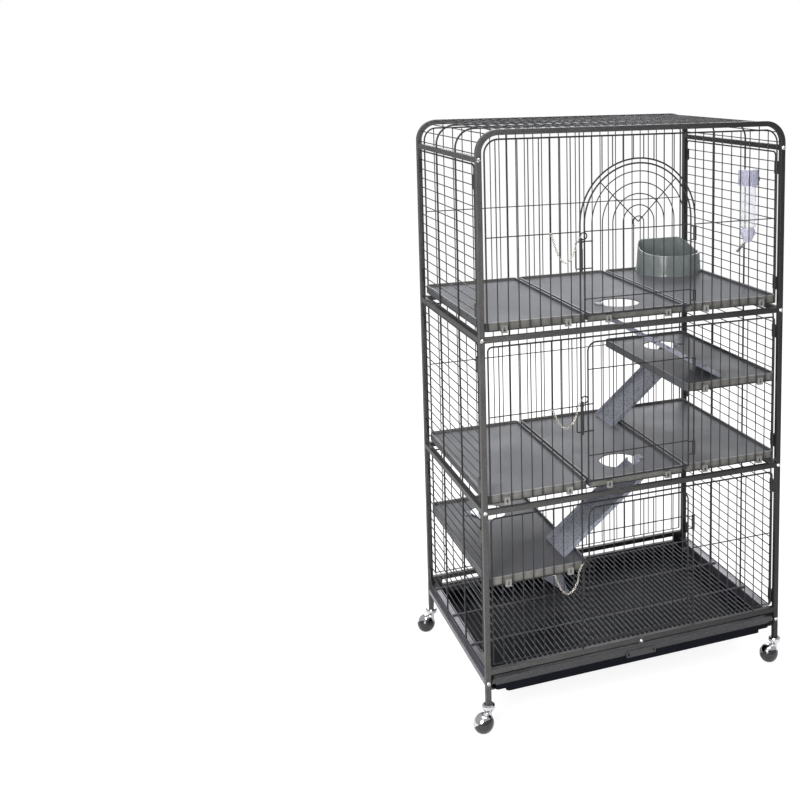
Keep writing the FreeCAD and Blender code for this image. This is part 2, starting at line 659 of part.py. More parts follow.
def make_base():
    sides = []
    inner_face = s.plate_x - s.sheet_metal
    for side in (-1, 1):
        rail = side_rail("BaseTube", s.post_x * side, s.base_z)
        edges = sorted([inner_face * side, s.plate_x * side], key=lambda edge: edge.value)
        tube_low, tube_high = s.base_z - s.tube / 2, s.base_z + s.tube / 2
        runner_low = s.runner_z - s.sheet_metal
        plate = box("BasePlate", (edges[0], -rail_run, tube_high), (edges[1], rail_run, s.plate_top))
        web = box("BaseWeb", (edges[0], -rail_run, runner_low), (edges[1], rail_run, tube_low))
        edges = sorted([s.flange_in * side, s.plate_x * side], key=lambda edge: edge.value)
        flange_low = s.plate_top - s.sheet_metal
        flange = box("BaseFlange", (edges[0], -rail_run, flange_low), (edges[1], rail_run, s.plate_top))
        edges = sorted([s.runner_in * side, s.plate_x * side], key=lambda edge: edge.value)
        runner = box("Runner", (edges[0], -rail_run, runner_low), (edges[1], rail_run, s.runner_z))
        sides.append(join("BaseSide", [rail, plate, web, flange, runner]))
    node(group("BaseSides", sides), "base_side_plates")
    front = cross_rail("FrontRail", -s.post_y, s.front_rail_z)
    hole_radius = s.turn_screw / 2 + s.fit_gap
    hole = cylinder("ScrewHole", hole_radius, s.tube / 2, s.turn_x, -s.post_y, s.turn_z, V(1, 0, 0), 90)
    back = cross_rail("BackRail", s.post_y, s.back_rail_z)
    bar_middle = (s.back_bar_low + s.back_bar_high) / 2
    lower = [cross_rail("BackBar", s.post_y, bar_middle, s.back_bar_high - s.back_bar_low)]
    near, far = s.post_y - s.gusset_thick / 2, s.post_y + s.gusset_thick / 2
    for side in (-1, 1):
        edges = sorted([s.gusset_in * side, cross_run * side], key=lambda edge: edge.value)
        top = s.back_rail_z - s.tube / 2
        lower.append(box("Gusset", (edges[0], near, s.back_bar_high), (edges[1], far, top)))
    rails = [cut("FrontRailCut", front, hole), back, join("BackBarGussets", lower)]
    node(group("BaseRails", rails), "base_rails")


make_base()


def frame_bolt(x, side_y, z):
    """Button-head bolt with a hex socket, driven along Y."""
    turn = (V(1, 0, 0), 90 if side_y < 0 else -90)
    face = (s.post_y + s.tube / 2) * side_y
    shank_end = face - s.shank_reach * side_y
    shank = cylinder("Shank", s.shank / 2, s.shank_reach, x, shank_end, z, *turn)
    rim = cylinder("HeadRim", s.head / 2, s.head_rim, x, face, z, *turn)
    brow = face + s.head_rim * side_y
    dome = cone("HeadDome", s.head / 2, s.head_crown / 2, s.head_dome, x, brow, z, *turn)
    crown = s.head_rim + s.head_dome - s.hex_depth
    socket = doc.addObject("Part::Prism", "HexSocket")
    socket.Polygon = 6
    bind(socket, Circumradius=s.hex / 2, Height=s.hex_depth * 2)
    place(socket, x, face + crown * side_y, z, *turn)
    return cut("FrameBolt", join("BoltBlank", [shank, rim, dome]), socket)


def make_bolts():
    bolts = []
    for side_x in (-1, 1):
        for side_y in (-1, 1):
            for level in (s.base_z, s.level2_z, s.level3_z, s.roof_z):
                bolts.append(frame_bolt(s.post_x * side_x, side_y, level))
    face = -s.post_y - s.tube / 2
    depth = s.tube / 3
    turn = (V(1, 0, 0), 90)
    shank_long = depth + s.turn_thick
    shank = cylinder("TurnShank", s.turn_screw / 2, shank_long, s.turn_x, face + depth, s.turn_z, *turn)
    seat = face - s.turn_thick
    head = cone("TurnHead", s.turn_head / 2, s.turn_head / 3, s.head_dome, s.turn_x, seat, s.turn_z, *turn)
    bolts.append(join("TurnScrew", [shank, head]))
    node(group("FrameBolts", bolts), "frame_bolts")


make_bolts()


# Wire work: every panel is one welded solid

thin = n.wire / 2
stout = n.frame_wire / 2
brace = n.hoop_wire / 2


def rod(start, end, radius):
    start, end = V(*start), V(*end)
    return Part.makeCylinder(radius, (end - start).Length, start, end - start)


def bent_rod(points, radius, bends):
    """Round wire along straight runs joined by tangent arcs."""
    points = [V(*point) for point in points]
    edges = []
    cursor = points[0]
    for before, corner, after, bend in zip(points, points[1:], points[2:], bends):
        into = (corner - before).normalize()
        out = (after - corner).normalize()
        turn = into.getAngle(out)
        setback = bend * math.tan(turn / 2)
        start, end = corner - into * setback, corner + out * setback
        inward = (out - into).normalize()
        middle = corner + inward * (bend / math.cos(turn / 2) - bend)
        if (start - cursor).Length > radius / 100:
            edges.append(Part.LineSegment(cursor, start).toShape())
        edges.append(Part.Arc(start, middle, end).toShape())
        cursor = end
    if (points[-1] - cursor).Length > radius / 100:
        edges.append(Part.LineSegment(cursor, points[-1]).toShape())
    spine = Part.Wire(edges)
    direction = points[1] - points[0]
    section = Part.Wire([Part.makeCircle(radius, points[0], direction)])
    return spine.makePipeShell([section], True, True)


def weld(pieces, name):
    """Joins crossing wires into one solid."""
    welded = pieces[0].multiFuse(pieces[1:])
    if len(welded.Solids) != 1:
        raise RuntimeError(f"{name}: {len(welded.Solids)} solids")
    return welded.Solids[0]


def parted(panel, fields, depth):
    """Cuts a panel by its fields (left, right, low, high) into simple flat pieces."""
    pieces = []
    for left, right, low, high in fields:
        block = Part.makeBox(right - left, depth * 2, high - low, V(left, -depth, low))
        pieces += panel.common(block).Solids
    return Part.makeCompound(pieces)


def press(radius_a, radius_b):
    """Distance of two crossing wires' centre lines."""
    return radius_a + radius_b - n.weld


rail_top = {1: n.front_rail_z + n.tube / 2, 2: n.level2_z + n.tube / 2, 3: n.level3_z + n.tube / 2}
back_rail_top = {1: n.back_rail_z + n.tube / 2, 2: rail_top[2], 3: rail_top[3]}
rail_under = {1: n.level2_z - n.tube / 2, 2: n.level3_z - n.tube / 2, 3: n.cage_top - n.tube}
top_wire = {1: n.top1_z, 2: n.top2_z, 3: n.top3_z}
mid_wire = {1: n.mid1_z, 2: n.mid2_z, 3: n.mid3_z}
low_wire = {1: n.low1_z, 2: n.low2_z, 3: n.low3_z}
back_low_wire = {1: n.back_low_z, 2: n.low2_z, 3: n.low3_z}
tier_names = {1: "lower", 2: "middle", 3: "upper"}
outer_uprights = [n.panel_x - n.mesh_pitch * step for step in range(1, 9)]
arch_fields = n.bar_pitch * 2


def panel_outline(y, tier, low):
    """Frame wire of a front or back panel, with its bottom wire."""
    high = top_wire[tier]
    bend = n.panel_bend if tier == 3 else n.panel_corner
    loop = [(-n.panel_x, y, low), (-n.panel_x, y, high), (n.panel_x, y, high), (n.panel_x, y, low)]
    return [bent_rod(loop, stout, [bend, bend]), rod((-n.panel_x, y, low), (n.panel_x, y, low), thin)]


def upright_top(x, tier):
    """Height of the frame wire above a place on the panel."""
    bend = n.panel_bend if tier == 3 else n.panel_corner
    past = abs(x) - (n.panel_x - bend)
    drop = bend - math.sqrt(bend ** 2 - past ** 2) if past > 0 else 0
    return top_wire[tier] - drop


def outer_wires(y, tier, low, rail):
    """Upright wires beside the door opening; some run on to the rails."""
    wires = []
    for side in (-1, 1):
        for x in outer_uprights:
            wires.append(rod((side * x, y, low), (side * x, y, upright_top(x, tier)), thin))
        anchor = side * n.anchor_x
        wires.append(rod((anchor, y, rail), (anchor, y, low), thin))
        wires.append(rod((anchor, y, top_wire[tier]), (anchor, y, rail_under[tier]), thin))
    return wires


def front_panel(tier):
    """Front panel, parted round its door opening."""
    y = -n.post_y
    inside = y + press(thin, thin)
    level = mid_wire[tier]
    low = low_wire[tier]
    wires = panel_outline(y, tier, low) + outer_wires(y, tier, low, rail_top[tier])
    for side in (-1, 1):
        wires.append(rod((side * n.panel_x, inside, level), (side * n.opening_x, inside, level), thin))
    if tier == 3:
        arch = [(-n.opening_x, y, rail_top[tier]), (-n.opening_x, y, n.arch_z + n.opening_x),
                (n.opening_x, y, n.arch_z + n.opening_x), (n.opening_x, y, rail_top[tier])]
        wires.append(bent_rod(arch, stout, [n.opening_x * (1 - n.weld / n.arch_z)] * 2))
        for side in (-1, 1):
            x = side * n.opening_x
            wires.append(rod((x, y, n.arch_z), (x, y, rail_under[tier]), thin))
            for step in range(5):
                x = n.bar_pitch * (step + 1 / 2)
                crown = n.arch_z + math.sqrt(n.opening_x ** 2 - x ** 2)
                wires.append(rod((side * x, y, crown), (side * x, y, top_wire[tier]), thin))
    else:
        for side in (-1, 1):
            x = side * n.opening_x
            wires.append(rod((x, y, rail_top[tier]), (x, y, rail_under[tier]), stout))
    panel = weld(wires, f"front panel {tier}")
    edge = n.opening_x - n.frame_wire
    fields = [(-n.post_x, -edge, 0, n.cage_top), (edge, n.post_x, 0, n.cage_top)]
    if tier == 3:
        fields.append((-edge, edge, 0, n.arch_z))
        borders = [-edge, -arch_fields * 2, -arch_fields, 0, arch_fields, arch_fields * 2, edge]
        fields += [(left, right, n.arch_z, n.cage_top) for left, right in zip(borders, borders[1:])]
    else:
        fields.append((-edge, edge, 0, n.cage_top))
    return parted(panel, fields, n.post_y * 2)


def back_panel(tier):
    y = n.post_y
    inside = y - press(thin, thin)
    low, level = back_low_wire[tier], mid_wire[tier]
    wires = panel_outline(y, tier, low) + outer_wires(y, tier, low, back_rail_top[tier])
    wires.append(rod((-n.panel_x, inside, level), (n.panel_x, inside, level), thin))
    count = int(round(n.opening_x * 2 / n.opening_pitch))
    for step in range(count + 1):
        x = n.opening_pitch * (step - count / 2)
        wires.append(rod((x, y, low), (x, y, top_wire[tier]), thin))
    return weld(wires, f"back panel {tier}")


side_low = {1: n.side_low_z, 2: n.level2_z + n.side_margin, 3: n.level3_z + n.side_margin}
side_high = {1: n.level2_z - n.side_margin, 2: n.level3_z - n.side_margin, 3: n.roof_z - n.side_margin}
stay_low = {1: n.stay_foot, 2: rail_top[2], 3: rail_top[3]}
stay_high = {1: rail_under[1], 2: rail_under[2], 3: n.roof_z - n.tube / 2}


def side_panel(tier, side):
    """Wall of level wires on two edge wires and two stiffening wires."""
    x = n.post_x * side
    inside = x - press(thin, brace) * side
    low, high = side_low[tier], side_high[tier]
    front, back = -n.side_front, n.side_back
    loop = [(x, front, low), (x, front, high), (x, back, high), (x, back, low)]
    wires = [bent_rod(loop, stout, [n.panel_corner] * 2), rod((x, front, low), (x, back, low), stout)]
    for y in (-n.stay_front, n.stay_back):
        wires.append(rod((x, y, stay_low[tier]), (x, y, stay_high[tier]), brace))
    level = high - n.side_pitch
    while level > low + n.side_pitch / 3:
        wires.append(rod((inside, front - n.side_past, level), (inside, back + n.side_past, level), thin))
        level -= n.side_pitch
    return weld(wires, f"side panel {tier}")


def roof_panel():
    """Two braces bent like the hoops, with wires laid over them from hoop to hoop."""
    crown = n.cage_top - n.tube / 2
    foot = n.roof_z + n.tube / 2
    reach = n.post_y - n.tube / 2
    wires = []
    for y in (-n.stay_front, n.stay_back):
        loop = [(-n.post_x, y, foot), (-n.post_x, y, crown), (n.post_x, y, crown), (n.post_x, y, foot)]
        wires.append(bent_rod(loop, brace, [n.hoop_bend] * 2))
    lift = press(thin, brace)
    flat = n.post_x - n.hoop_bend
    count = int(flat * 2 / n.side_pitch)
    spread = flat * 2 / count
    places = [(spread * (step - count / 2), crown + lift) for step in range(count + 1)]
    for side in (-1, 1):
        for turn in (math.pi / 6, math.pi / 3, math.pi / 2):
            swing = n.hoop_bend + lift
            out, up = swing * math.sin(turn), swing * math.cos(turn)
            places.append((side * (flat + out), crown - n.hoop_bend + up))
    for x, z in places:
        wires.append(rod((x, -reach, z), (x, reach, z), thin))
    edge = flat + n.hoop_bend / 4
    borders = [-n.post_x * 2, -edge, edge, n.post_x * 2]
    fields = [(left, right, 0, n.cage_top * 2) for left, right in zip(borders, borders[1:])]
    return parted(weld(wires, "roof panel"), fields, n.post_y)


def floor_grid():
    """Bars from front to back on four cross wires that lie on the flanges of the base sheets."""
    cross_z = n.plate_top + stout
    bar_z = cross_z + press(thin, stout)
    wires = []
    reach = n.plate_x - n.sheet_metal
    for y in (-n.grid_front, -n.grid_ahead, n.grid_behind, n.grid_back):
        wires.append(rod((-reach, y, cross_z), (reach, y, cross_z), stout))
    count = int(n.grid_half * 2 / n.grid_pitch)
    spread = n.grid_half * 2 / count
    front, back = -n.grid_front - n.grid_past, n.grid_back + n.grid_past
    for step in range(count + 1):
        x = spread * (step - count / 2)
        wires.append(rod((x, front, bar_z), (x, back, bar_z), thin))
    return weld(wires, "floor grid")


for tier in (1, 2, 3):
    shape_node(f"front_panel_{tier_names[tier]}", front_panel(tier))
    shape_node(f"back_panel_{tier_names[tier]}", back_panel(tier))
    shape_node(f"left_panel_{tier_names[tier]}", side_panel(tier, -1))
    shape_node(f"right_panel_{tier_names[tier]}", side_panel(tier, 1))
shape_node("roof_panel", roof_panel())
shape_node("floor_grid", floor_grid())


bracket_middles = [n.bracket1_low, n.bracket1_high, n.bracket2_low, n.bracket2_high,
                   n.bracket3_low, n.bracket3_high]


def wall_bracket(side_x, side_y, middle):
    """Tab on a post, grooved round the edge wire of a side wall and open towards the cage."""
    edge = n.side_front if side_y < 0 else n.side_back
    low = middle - n.bracket_tall / 2
    left, right = sorted([(n.post_x - n.bracket_in) * side_x, (n.post_x + n.bracket_out) * side_x])
    near, far = sorted([(edge - n.bracket_past) * side_y, (n.post_y - n.tube / 2) * side_y])
    block = Part.makeBox(right - left, far - near, n.bracket_tall, V(left, near, low))
    foot = V(n.post_x * side_x, edge * side_y, low - n.bracket_tall / 2)
    groove = Part.makeCylinder(stout + n.fit_gap, n.bracket_tall * 2, foot)
    return block.cut(groove).Solids[0]


def wall_brackets():
    brackets = []
    for side_x in (-1, 1):
        for side_y in (-1, 1):
            brackets += [wall_bracket(side_x, side_y, middle) for middle in bracket_middles]
    return Part.makeCompound(brackets)


shape_node("panel_brackets", wall_brackets())


# Doors, latches and safety chains

def hinge_sleeves(spans, y):
    """Sleeves round the right opening wire, each with an arm to the door frame."""
    sleeves = []
    for low, high, arm_x in spans:
        outer = Part.makeCylinder(n.sleeve / 2, high - low, V(n.opening_x, y, low))
        sleeves.append(outer)
        for level in (low + stout, high - stout):
            sleeves.append(rod((arm_x, y, level), (n.opening_x, y, level), thin))
    return sleeves


def latch_bracket(y, low, high, stile_x):
    """Wire bracket that reaches past the opening wire, with two eyes for the latch bolt."""
    front = y - n.latch_front
    eye_y = y - n.latch_depth
    arm = n.latch_wire / 2
    inner_x = -n.bar_pitch * 4.5
    outer_x = -n.latch_left
    loop = [(inner_x, front, high), (outer_x, front, high), (outer_x, front, low), (inner_x, front, low)]
    pieces = [bent_rod(loop, arm, [n.latch_wire] * 2)]
    for level in (low, high):
        for x in (inner_x, -stile_x):
            pieces.append(rod((x, y, level), (x, front, level), thin))
        base = V(-n.opening_x, eye_y, level - n.latch_eye_tall / 2)
        pieces.append(Part.makeCylinder(n.latch_eye / 2, n.latch_eye_tall, base))
    return pieces


def finish_door(pieces, y, spans, low, high, name):
    """Welds a door together and bores its hinge sleeves and latch eyes."""
    door = pieces[0].multiFuse(pieces[1:])
    for bottom, top, arm_x in spans:
        long = top - bottom + n.sleeve
        pin = Part.makeCylinder(stout + n.sleeve_gap, long, V(n.opening_x, y, bottom - stout))
        door = door.cut(pin)
    base = V(-n.opening_x, y - n.latch_depth, low - n.latch_eye)
    door = door.cut(Part.makeCylinder(n.latch_bolt / 2 + n.sleeve_gap, high - low + n.latch_eye * 2, base))
    if len(door.Solids) != 1:
        raise RuntimeError(f"{name}: {len(door.Solids)} solids")
    return door.Solids[0]


def arched_door():
    y = -n.post_y
    inside = y + press(thin, thin)
    r = n.arch_door
    arch = [(-r, y, n.door3_low), (-r, y, n.arch_z + r), (r, y, n.arch_z + r), (r, y, n.door3_low)]
    pieces = [bent_rod(arch, stout, [r * (1 - n.weld / n.arch_z)] * 2)]
    pieces.append(rod((-r, y, n.door3_low), (r, y, n.door3_low), stout))
    for step in range(5):
        x = n.bar_pitch * (step + 1 / 2)
        curve = [(-x, y, n.door3_low), (-x, y, n.arch_z + x), (x, y, n.arch_z + x), (x, y, n.door3_low)]
        pieces.append(bent_rod(curve, thin, [x * (1 - n.weld / n.arch_z)] * 2))
    for level in (n.mid3_z, n.door3_rail):
        pieces.append(rod((-r, inside, level), (r, inside, level), thin))
    for side in (-1, 1):
        tip = r * math.sqrt(1 / 2)
        pieces.append(rod((0, inside, n.arch_z), (side * tip, inside, n.arch_z + tip), thin))
    ring = Part.makeTorus(n.hub_ring * 2, thin, V(0, inside, n.arch_z), V(0, 1, 0), -180, 180, 90)
    ring.rotate(V(0, inside, n.arch_z), V(0, 1, 0), -135)
    pieces.append(ring)
    head = n.mid3_z - n.wire
    spans = [(head - n.sleeve_long, head, r), (n.door3_rail - n.sleeve_short, n.door3_rail, r)]
    pieces += hinge_sleeves(spans, y)
    pieces += latch_bracket(y, n.latch3_low, n.latch3_high, r)
    return finish_door(pieces, y, spans, n.latch3_low, n.latch3_high, "arched door")


def square_door(top, low, rail, sill, sleeve_spans, latch_low, latch_high, name):
    y = -n.post_y
    inside = y + press(thin, thin)
    left, right = -n.door_left, n.door_right
    loop = [(left, y, low), (left, y, top), (right, y, top), (right, y, low)]
    pieces = [bent_rod(loop, stout, [n.door_bend] * 2), rod((left, y, low), (right, y, low), stout)]
    for side in (-1, 1):
        for step in range(5):
            x = side * n.bar_pitch * (step + 1 / 2)
            edge = left if x < 0 else right
            past = max(0, abs(x) - (abs(edge) - n.door_bend))
            drop = n.door_bend - math.sqrt(n.door_bend ** 2 - past ** 2)
            pieces.append(rod((x, y, low), (x, y, top - drop), thin))
    for level in (rail, sill):
        pieces.append(rod((left, inside, level), (right, inside, level), thin))
    spans = [(bottom, head, right) for bottom, head in sleeve_spans]
    pieces += hinge_sleeves(spans, y)
    pieces += latch_bracket(y, latch_low, latch_high, n.door_left)
    return finish_door(pieces, y, spans, latch_low, latch_high, name)


door2_spans = [(n.door2_rail - n.sleeve_long, n.door2_rail), (n.door2_sill - n.sleeve_long, n.door2_sill)]
door1_spans = [(n.door1_rail - n.sleeve_long, n.door1_rail), (n.door1_sill - n.sleeve_long, n.door1_sill)]
shape_node("door_upper", arched_door())
shape_node("door_middle", square_door(n.door2_top, n.door2_low, n.door2_rail, n.door2_sill, door2_spans,
                                      n.latch2_low, n.latch2_high, "middle door"))
shape_node("door_lower", square_door(n.door1_top, n.door1_low, n.door1_rail, n.door1_sill, door1_spans,
                                     n.latch1_low, n.latch1_high, "lower door"))


def latch(low, high, name):
    """Sliding bolt with a thick middle that rests on the lower eye, and a pull ring."""
    x, y = -n.opening_x, -n.post_y - n.latch_depth
    under, over = low + n.latch_eye_tall / 2, high - n.latch_eye_tall / 2
    body_top = over - n.latch_travel
    bolt = Part.makeCylinder(n.latch_bolt / 2, high - low + n.latch_travel, V(x, y, low - n.latch_bolt))
    thick = Part.makeCylinder(n.latch_sleeve / 2, body_top - under, V(x, y, under))
    bolt_top = high - n.latch_bolt + n.latch_travel
    ring_middle = V(x + n.pull_ring * 3 / 4, y, bolt_top + n.pull_ring - n.pull_wire)
    ring = Part.makeTorus(n.pull_ring, n.pull_wire / 2, ring_middle, V(0, 1, 0))
    return weld([bolt, thick, ring], name)


shape_node("latch_upper", latch(n.latch3_low, n.latch3_high, "upper latch"))
shape_node("latch_middle", latch(n.latch2_low, n.latch2_high, "middle latch"))
shape_node("latch_lower", latch(n.latch1_low, n.latch1_high, "lower latch"))


CURVE_STEPS = 2000


def chain_link():
    """Oval link along X in the XY plane."""
    run, bend, wire = n.link_straight / 2, n.link_half, n.link_wire / 2
    edges = [
        Part.LineSegment(V(-run, -bend, 0), V(run, -bend, 0)).toShape(),
        Part.Arc(V(run, -bend, 0), V(run + bend, 0, 0), V(run, bend, 0)).toShape(),
        Part.LineSegment(V(run, bend, 0), V(-run, bend, 0)).toShape(),
        Part.Arc(V(-run, bend, 0), V(-run - bend, 0, 0), V(-run, -bend, 0)).toShape(),
    ]
    section = Part.Wire([Part.makeCircle(wire, V(-run, -bend, 0), V(1, 0, 0))])
    return Part.Wire(edges).makePipeShell([section], True, True)


def chain(start, sag_share, end_share):
    """Links hung along a slack curve, the first of them on the ring at the start."""
    end = V(-n.chain_end, start.y, start.z - n.chain_start * end_share)
    dip = start.z - n.chain_start * sag_share
    low_share = 1 / (1 + math.sqrt((end.z - dip) / (start.z - dip)))
    low_x = start.x + (end.x - start.x) * low_share
    left_pull = (start.z - dip) / (start.x - low_x) ** 2
    right_pull = (end.z - dip) / (end.x - low_x) ** 2
    samples = []
    for x_share in [step / CURVE_STEPS for step in range(CURVE_STEPS + 1)]:
        x = start.x + (end.x - start.x) * x_share
        pull = left_pull if x < low_x else right_pull
        samples.append(V(x, start.y, dip + pull * (x - low_x) ** 2))
    run = [0]
    for here, there in zip(samples, samples[1:]):
        run.append(run[-1] + (there - here).Length)
    link_count = round(run[-1] / n.link_pitch)
    points = []
    for index in range(link_count + 1):
        wanted = run[-1] * index / link_count
        points.append(min(zip(run, samples), key=lambda pair: abs(pair[0] - wanted))[1])
    reach = n.link_straight / 2 + n.link_half - n.link_wire - n.fit_gap * 2
    first = (points[1] - points[0]).normalize() * (n.link_pitch / 2 - reach)
    pattern = chain_link()
    links = []
    for index, (here, there) in enumerate(zip(points, points[1:])):
        link = pattern.copy()
        link.rotate(V(), V(1, 0, 0), 90 if index % 2 else 0)
        along = there - here
        link.rotate(V(), V(0, 1, 0), -math.degrees(math.atan2(along.z, along.x)))
        link.translate((here + there) / 2 - first)
        links.append(link)
    return links


def safety_chains():
    pieces = []
    curve_shares = {3: (0.32, 0.195), 2: (0.22, 0.1), 1: (0.24, 0.12)}
    for tier, (sag_share, end_share) in curve_shares.items():
        middle_y = thin + n.link_wire / 2 + n.fit_gap - n.post_y - n.snap_ring
        middle = V(-n.chain_start, middle_y, mid_wire[tier] + thin + n.link_wire / 2 + n.fit_gap)
        pieces.append(Part.makeTorus(n.snap_ring, n.link_wire / 2, middle))
        pieces += chain(middle - V(0, n.snap_ring, 0), sag_share, end_share)
    return Part.makeCompound(pieces)


shape_node("safety_chains", safety_chains())


# Trays and shelves

floor_rise = s.tray_tall - s.tray_lip


def make_tray(label, x, z, hole_side=0):
    """Shallow tray: floor near the top, rim above it, skirt below it."""
    body = new_body(f"Tray{label}")
    outline = sketch_on(body, "XY_Plane")
    rounded_rectangle(outline, s.tray_wide, s.tray_deep, s.tray_corner)
    pad(body, outline, s.tray_tall)
    inner_wide, inner_deep = s.tray_wide - s.tray_wall * 2, s.tray_deep - s.tray_wall * 2
    top = sketch_on(body, "XY_Plane", s.tray_tall)
    rounded_rectangle(top, inner_wide, inner_deep, s.tray_corner - s.tray_wall)
    pocket(body, top, s.tray_lip)
    under = sketch_on(body, "XY_Plane")
    rounded_rectangle(under, inner_wide, inner_deep, s.tray_corner - s.tray_wall)
    pocket(body, under, floor_rise - s.tray_floor, reverse=True)
    if hole_side:
        hole = sketch_on(body, "XY_Plane", s.tray_tall)
        circle_at(hole, s.hole, zero, s.hole_y * hole_side)
        pocket(body, hole)
    place(body, x, zero, z)
    return node(body, label)


for level, height in ((3, s.tray3_z), (2, s.tray2_z)):
    make_tray(f"tray_level{level}_left", -s.tray_pitch, height)
    make_tray(f"tray_level{level}_middle", zero, height, hole_side=-1)
    make_tray(f"tray_level{level}_right", s.tray_pitch, height)
make_tray("shelf_middle_tier", s.tray_pitch, s.shelf2_z, hole_side=1)
make_tray("shelf_lower_tier", -s.tray_pitch, s.shelf1_z, hole_side=1)


def tray_clips():
    """Clips on the tray fronts and backs that sit on a panel wire."""
    clips = []
    lapped = n.post_y - press(thin, thin)
    hung = []
    for height, wire_z in ((n.tray3_z, n.low3_z), (n.tray2_z, n.low2_z)):
        for column in (-1, 0, 1):
            back_x = n.clip_x if column else n.clip_back_x
            hung.append((column * n.tray_pitch, height, n.post_y, wire_z, back_x))
    hung.append((n.tray_pitch, n.shelf2_z, lapped, n.mid2_z, n.clip_x))
    hung.append((-n.tray_pitch, n.shelf1_z, lapped, n.mid1_z, n.clip_x))
    for middle, height, wire_y, wire_z, back_x in hung:
        for side_y, offset in ((-1, n.clip_x), (1, back_x)):
            for side_x in (-1, 1):
                x = middle + side_x * offset
                low = height - n.clip_drop
                near, far = sorted([n.tray_deep / 2 * side_y, n.clip_front * side_y])
                left = x - n.clip_wide / 2
                block = Part.makeBox(n.clip_wide, far - near, n.clip_tall, V(left, near, low))
                slot_half = thin + n.fit_gap
                slot_corner = V(left, wire_y * side_y - slot_half, low)
                slot = Part.makeBox(n.clip_wide, slot_half * 2, wire_z + thin - low, slot_corner)
                window_y = n.clip_front * side_y - n.clip_wide / 4
                window_corner = V(x - n.clip_window / 2, window_y, height)
                window = Part.makeBox(n.clip_window, n.clip_wide / 2, n.clip_window * 2, window_corner)
                clips.append(block.cut(slot).cut(window))
    return Part.makeCompound([solid for clip in clips for solid in clip.Solids])


shape_node("tray_clips", tray_clips())


# Ramps

hook_x = s.tongue_edge - s.hole


def make_ramp(label, foot, drop, x, y, z, turn, shift=zero):
    """Sloping plate with side lips, hooked over the edge of a passage hole.

    Its own X axis points downhill and its origin is the centre of the hole, on the tray floor.
    """
    body = new_body(f"Ramp{label}")
    rise = (drop - s.ramp_hang) / (foot - hook_x)
    heel = hook_x + (drop - s.ramp_hang - s.ramp_thick) / rise
    outline = sketch_on(body, "XZ_Plane", shift)
    polygon(outline, [
        (hook_x, s.ramp_lip - s.ramp_hang), (hook_x, -s.ramp_hang - s.ramp_thick),
        (heel, -drop), (foot, -drop), (foot, s.ramp_lip - drop),
    ])
    pad(body, outline, s.ramp_wide, middle=True)
    tread = sketch_on(body, "XZ_Plane", shift)
    head = rise * s.tube - s.ramp_hang
    polygon(tread, [
        (hook_x - s.tube, head + s.ramp_lip * 2), (hook_x - s.tube, head),
        (foot + s.tube, -drop - rise * s.tube), (foot + s.tube, s.ramp_lip * 2 - drop),
    ])
    pocket(body, tread, s.ramp_wide - s.ramp_wall * 2, middle=True)
    tongue = sketch_on(body, "XZ_Plane")
    polygon(tongue, [
        (hook_x - s.tongue_reach, zero), (hook_x, zero), (hook_x, -s.ramp_hang - s.ramp_thick),
        (hook_x + s.tongue_thick, -s.ramp_hang - s.ramp_thick), (hook_x + s.tongue_thick, s.tongue_thick),
        (hook_x - s.tongue_reach, s.tongue_thick),
    ])
    pad(body, tongue, s.tongue_wide, middle=True)
    place(body, x, y, z, V(0, 0, 1), turn)
    return node(body, label)


floor3, floor2 = s.tray3_z + floor_rise, s.tray2_z + floor_rise
shelf2, shelf1 = s.shelf2_z + floor_rise, s.shelf1_z + floor_rise
grid_top = s.plate_top + s.frame_wire + s.wire - s.weld
make_ramp("ramp_upper", s.ramp1_foot, floor3 - shelf2, zero, -s.hole_y, floor3, 0, s.ramp1_shift)
make_ramp("ramp_second", s.ramp2_foot, shelf2 - floor2, s.tray_pitch, s.hole_y, shelf2, 180, s.ramp2_shift)
make_ramp("ramp_third", s.ramp3_foot, floor2 - shelf1, zero, -s.hole_y, floor2, 180)
make_ramp("ramp_lowest", s.ramp4_foot, shelf1 - grid_top, -s.tray_pitch, s.hole_y, shelf1, -n.ramp4_turn)


# Litter tray with its front bar, and the turn button above it

def make_litter_tray():
    body = new_body("LitterTray")
    deep = s.pan_front + s.pan_back
    middle = (s.pan_back - s.pan_front) / 2
    low = sketch_on(body, "XY_Plane", s.pan_low)
    rounded_rectangle(low, s.pan_deep_half * 2, deep, s.pan_corner, zero, middle)
    pad(body, low, s.runner_z - s.pan_low + s.pan_wall)
    high = sketch_on(body, "XY_Plane", s.runner_z)
    rounded_rectangle(high, s.pan_half * 2, deep, s.pan_corner, zero, middle)
    pad(body, high, s.pan_top - s.runner_z)
    shelf = sketch_on(body, "XY_Plane", s.pan_top)
    inner_deep, inner_corner = deep - s.pan_wall * 2, s.pan_corner - s.pan_wall
    rounded_rectangle(shelf, (s.pan_half - s.pan_wall) * 2, inner_deep, inner_corner, zero, middle)
    pocket(body, shelf, s.pan_top - s.runner_z - s.pan_wall)
    well = sketch_on(body, "XY_Plane", s.pan_top)
    rounded_rectangle(well, (s.pan_deep_half - s.pan_wall) * 2, inner_deep, inner_corner, zero, middle)
    pocket(body, well, s.pan_top - s.pan_low - s.pan_wall)
    return node(body, "litter_tray")


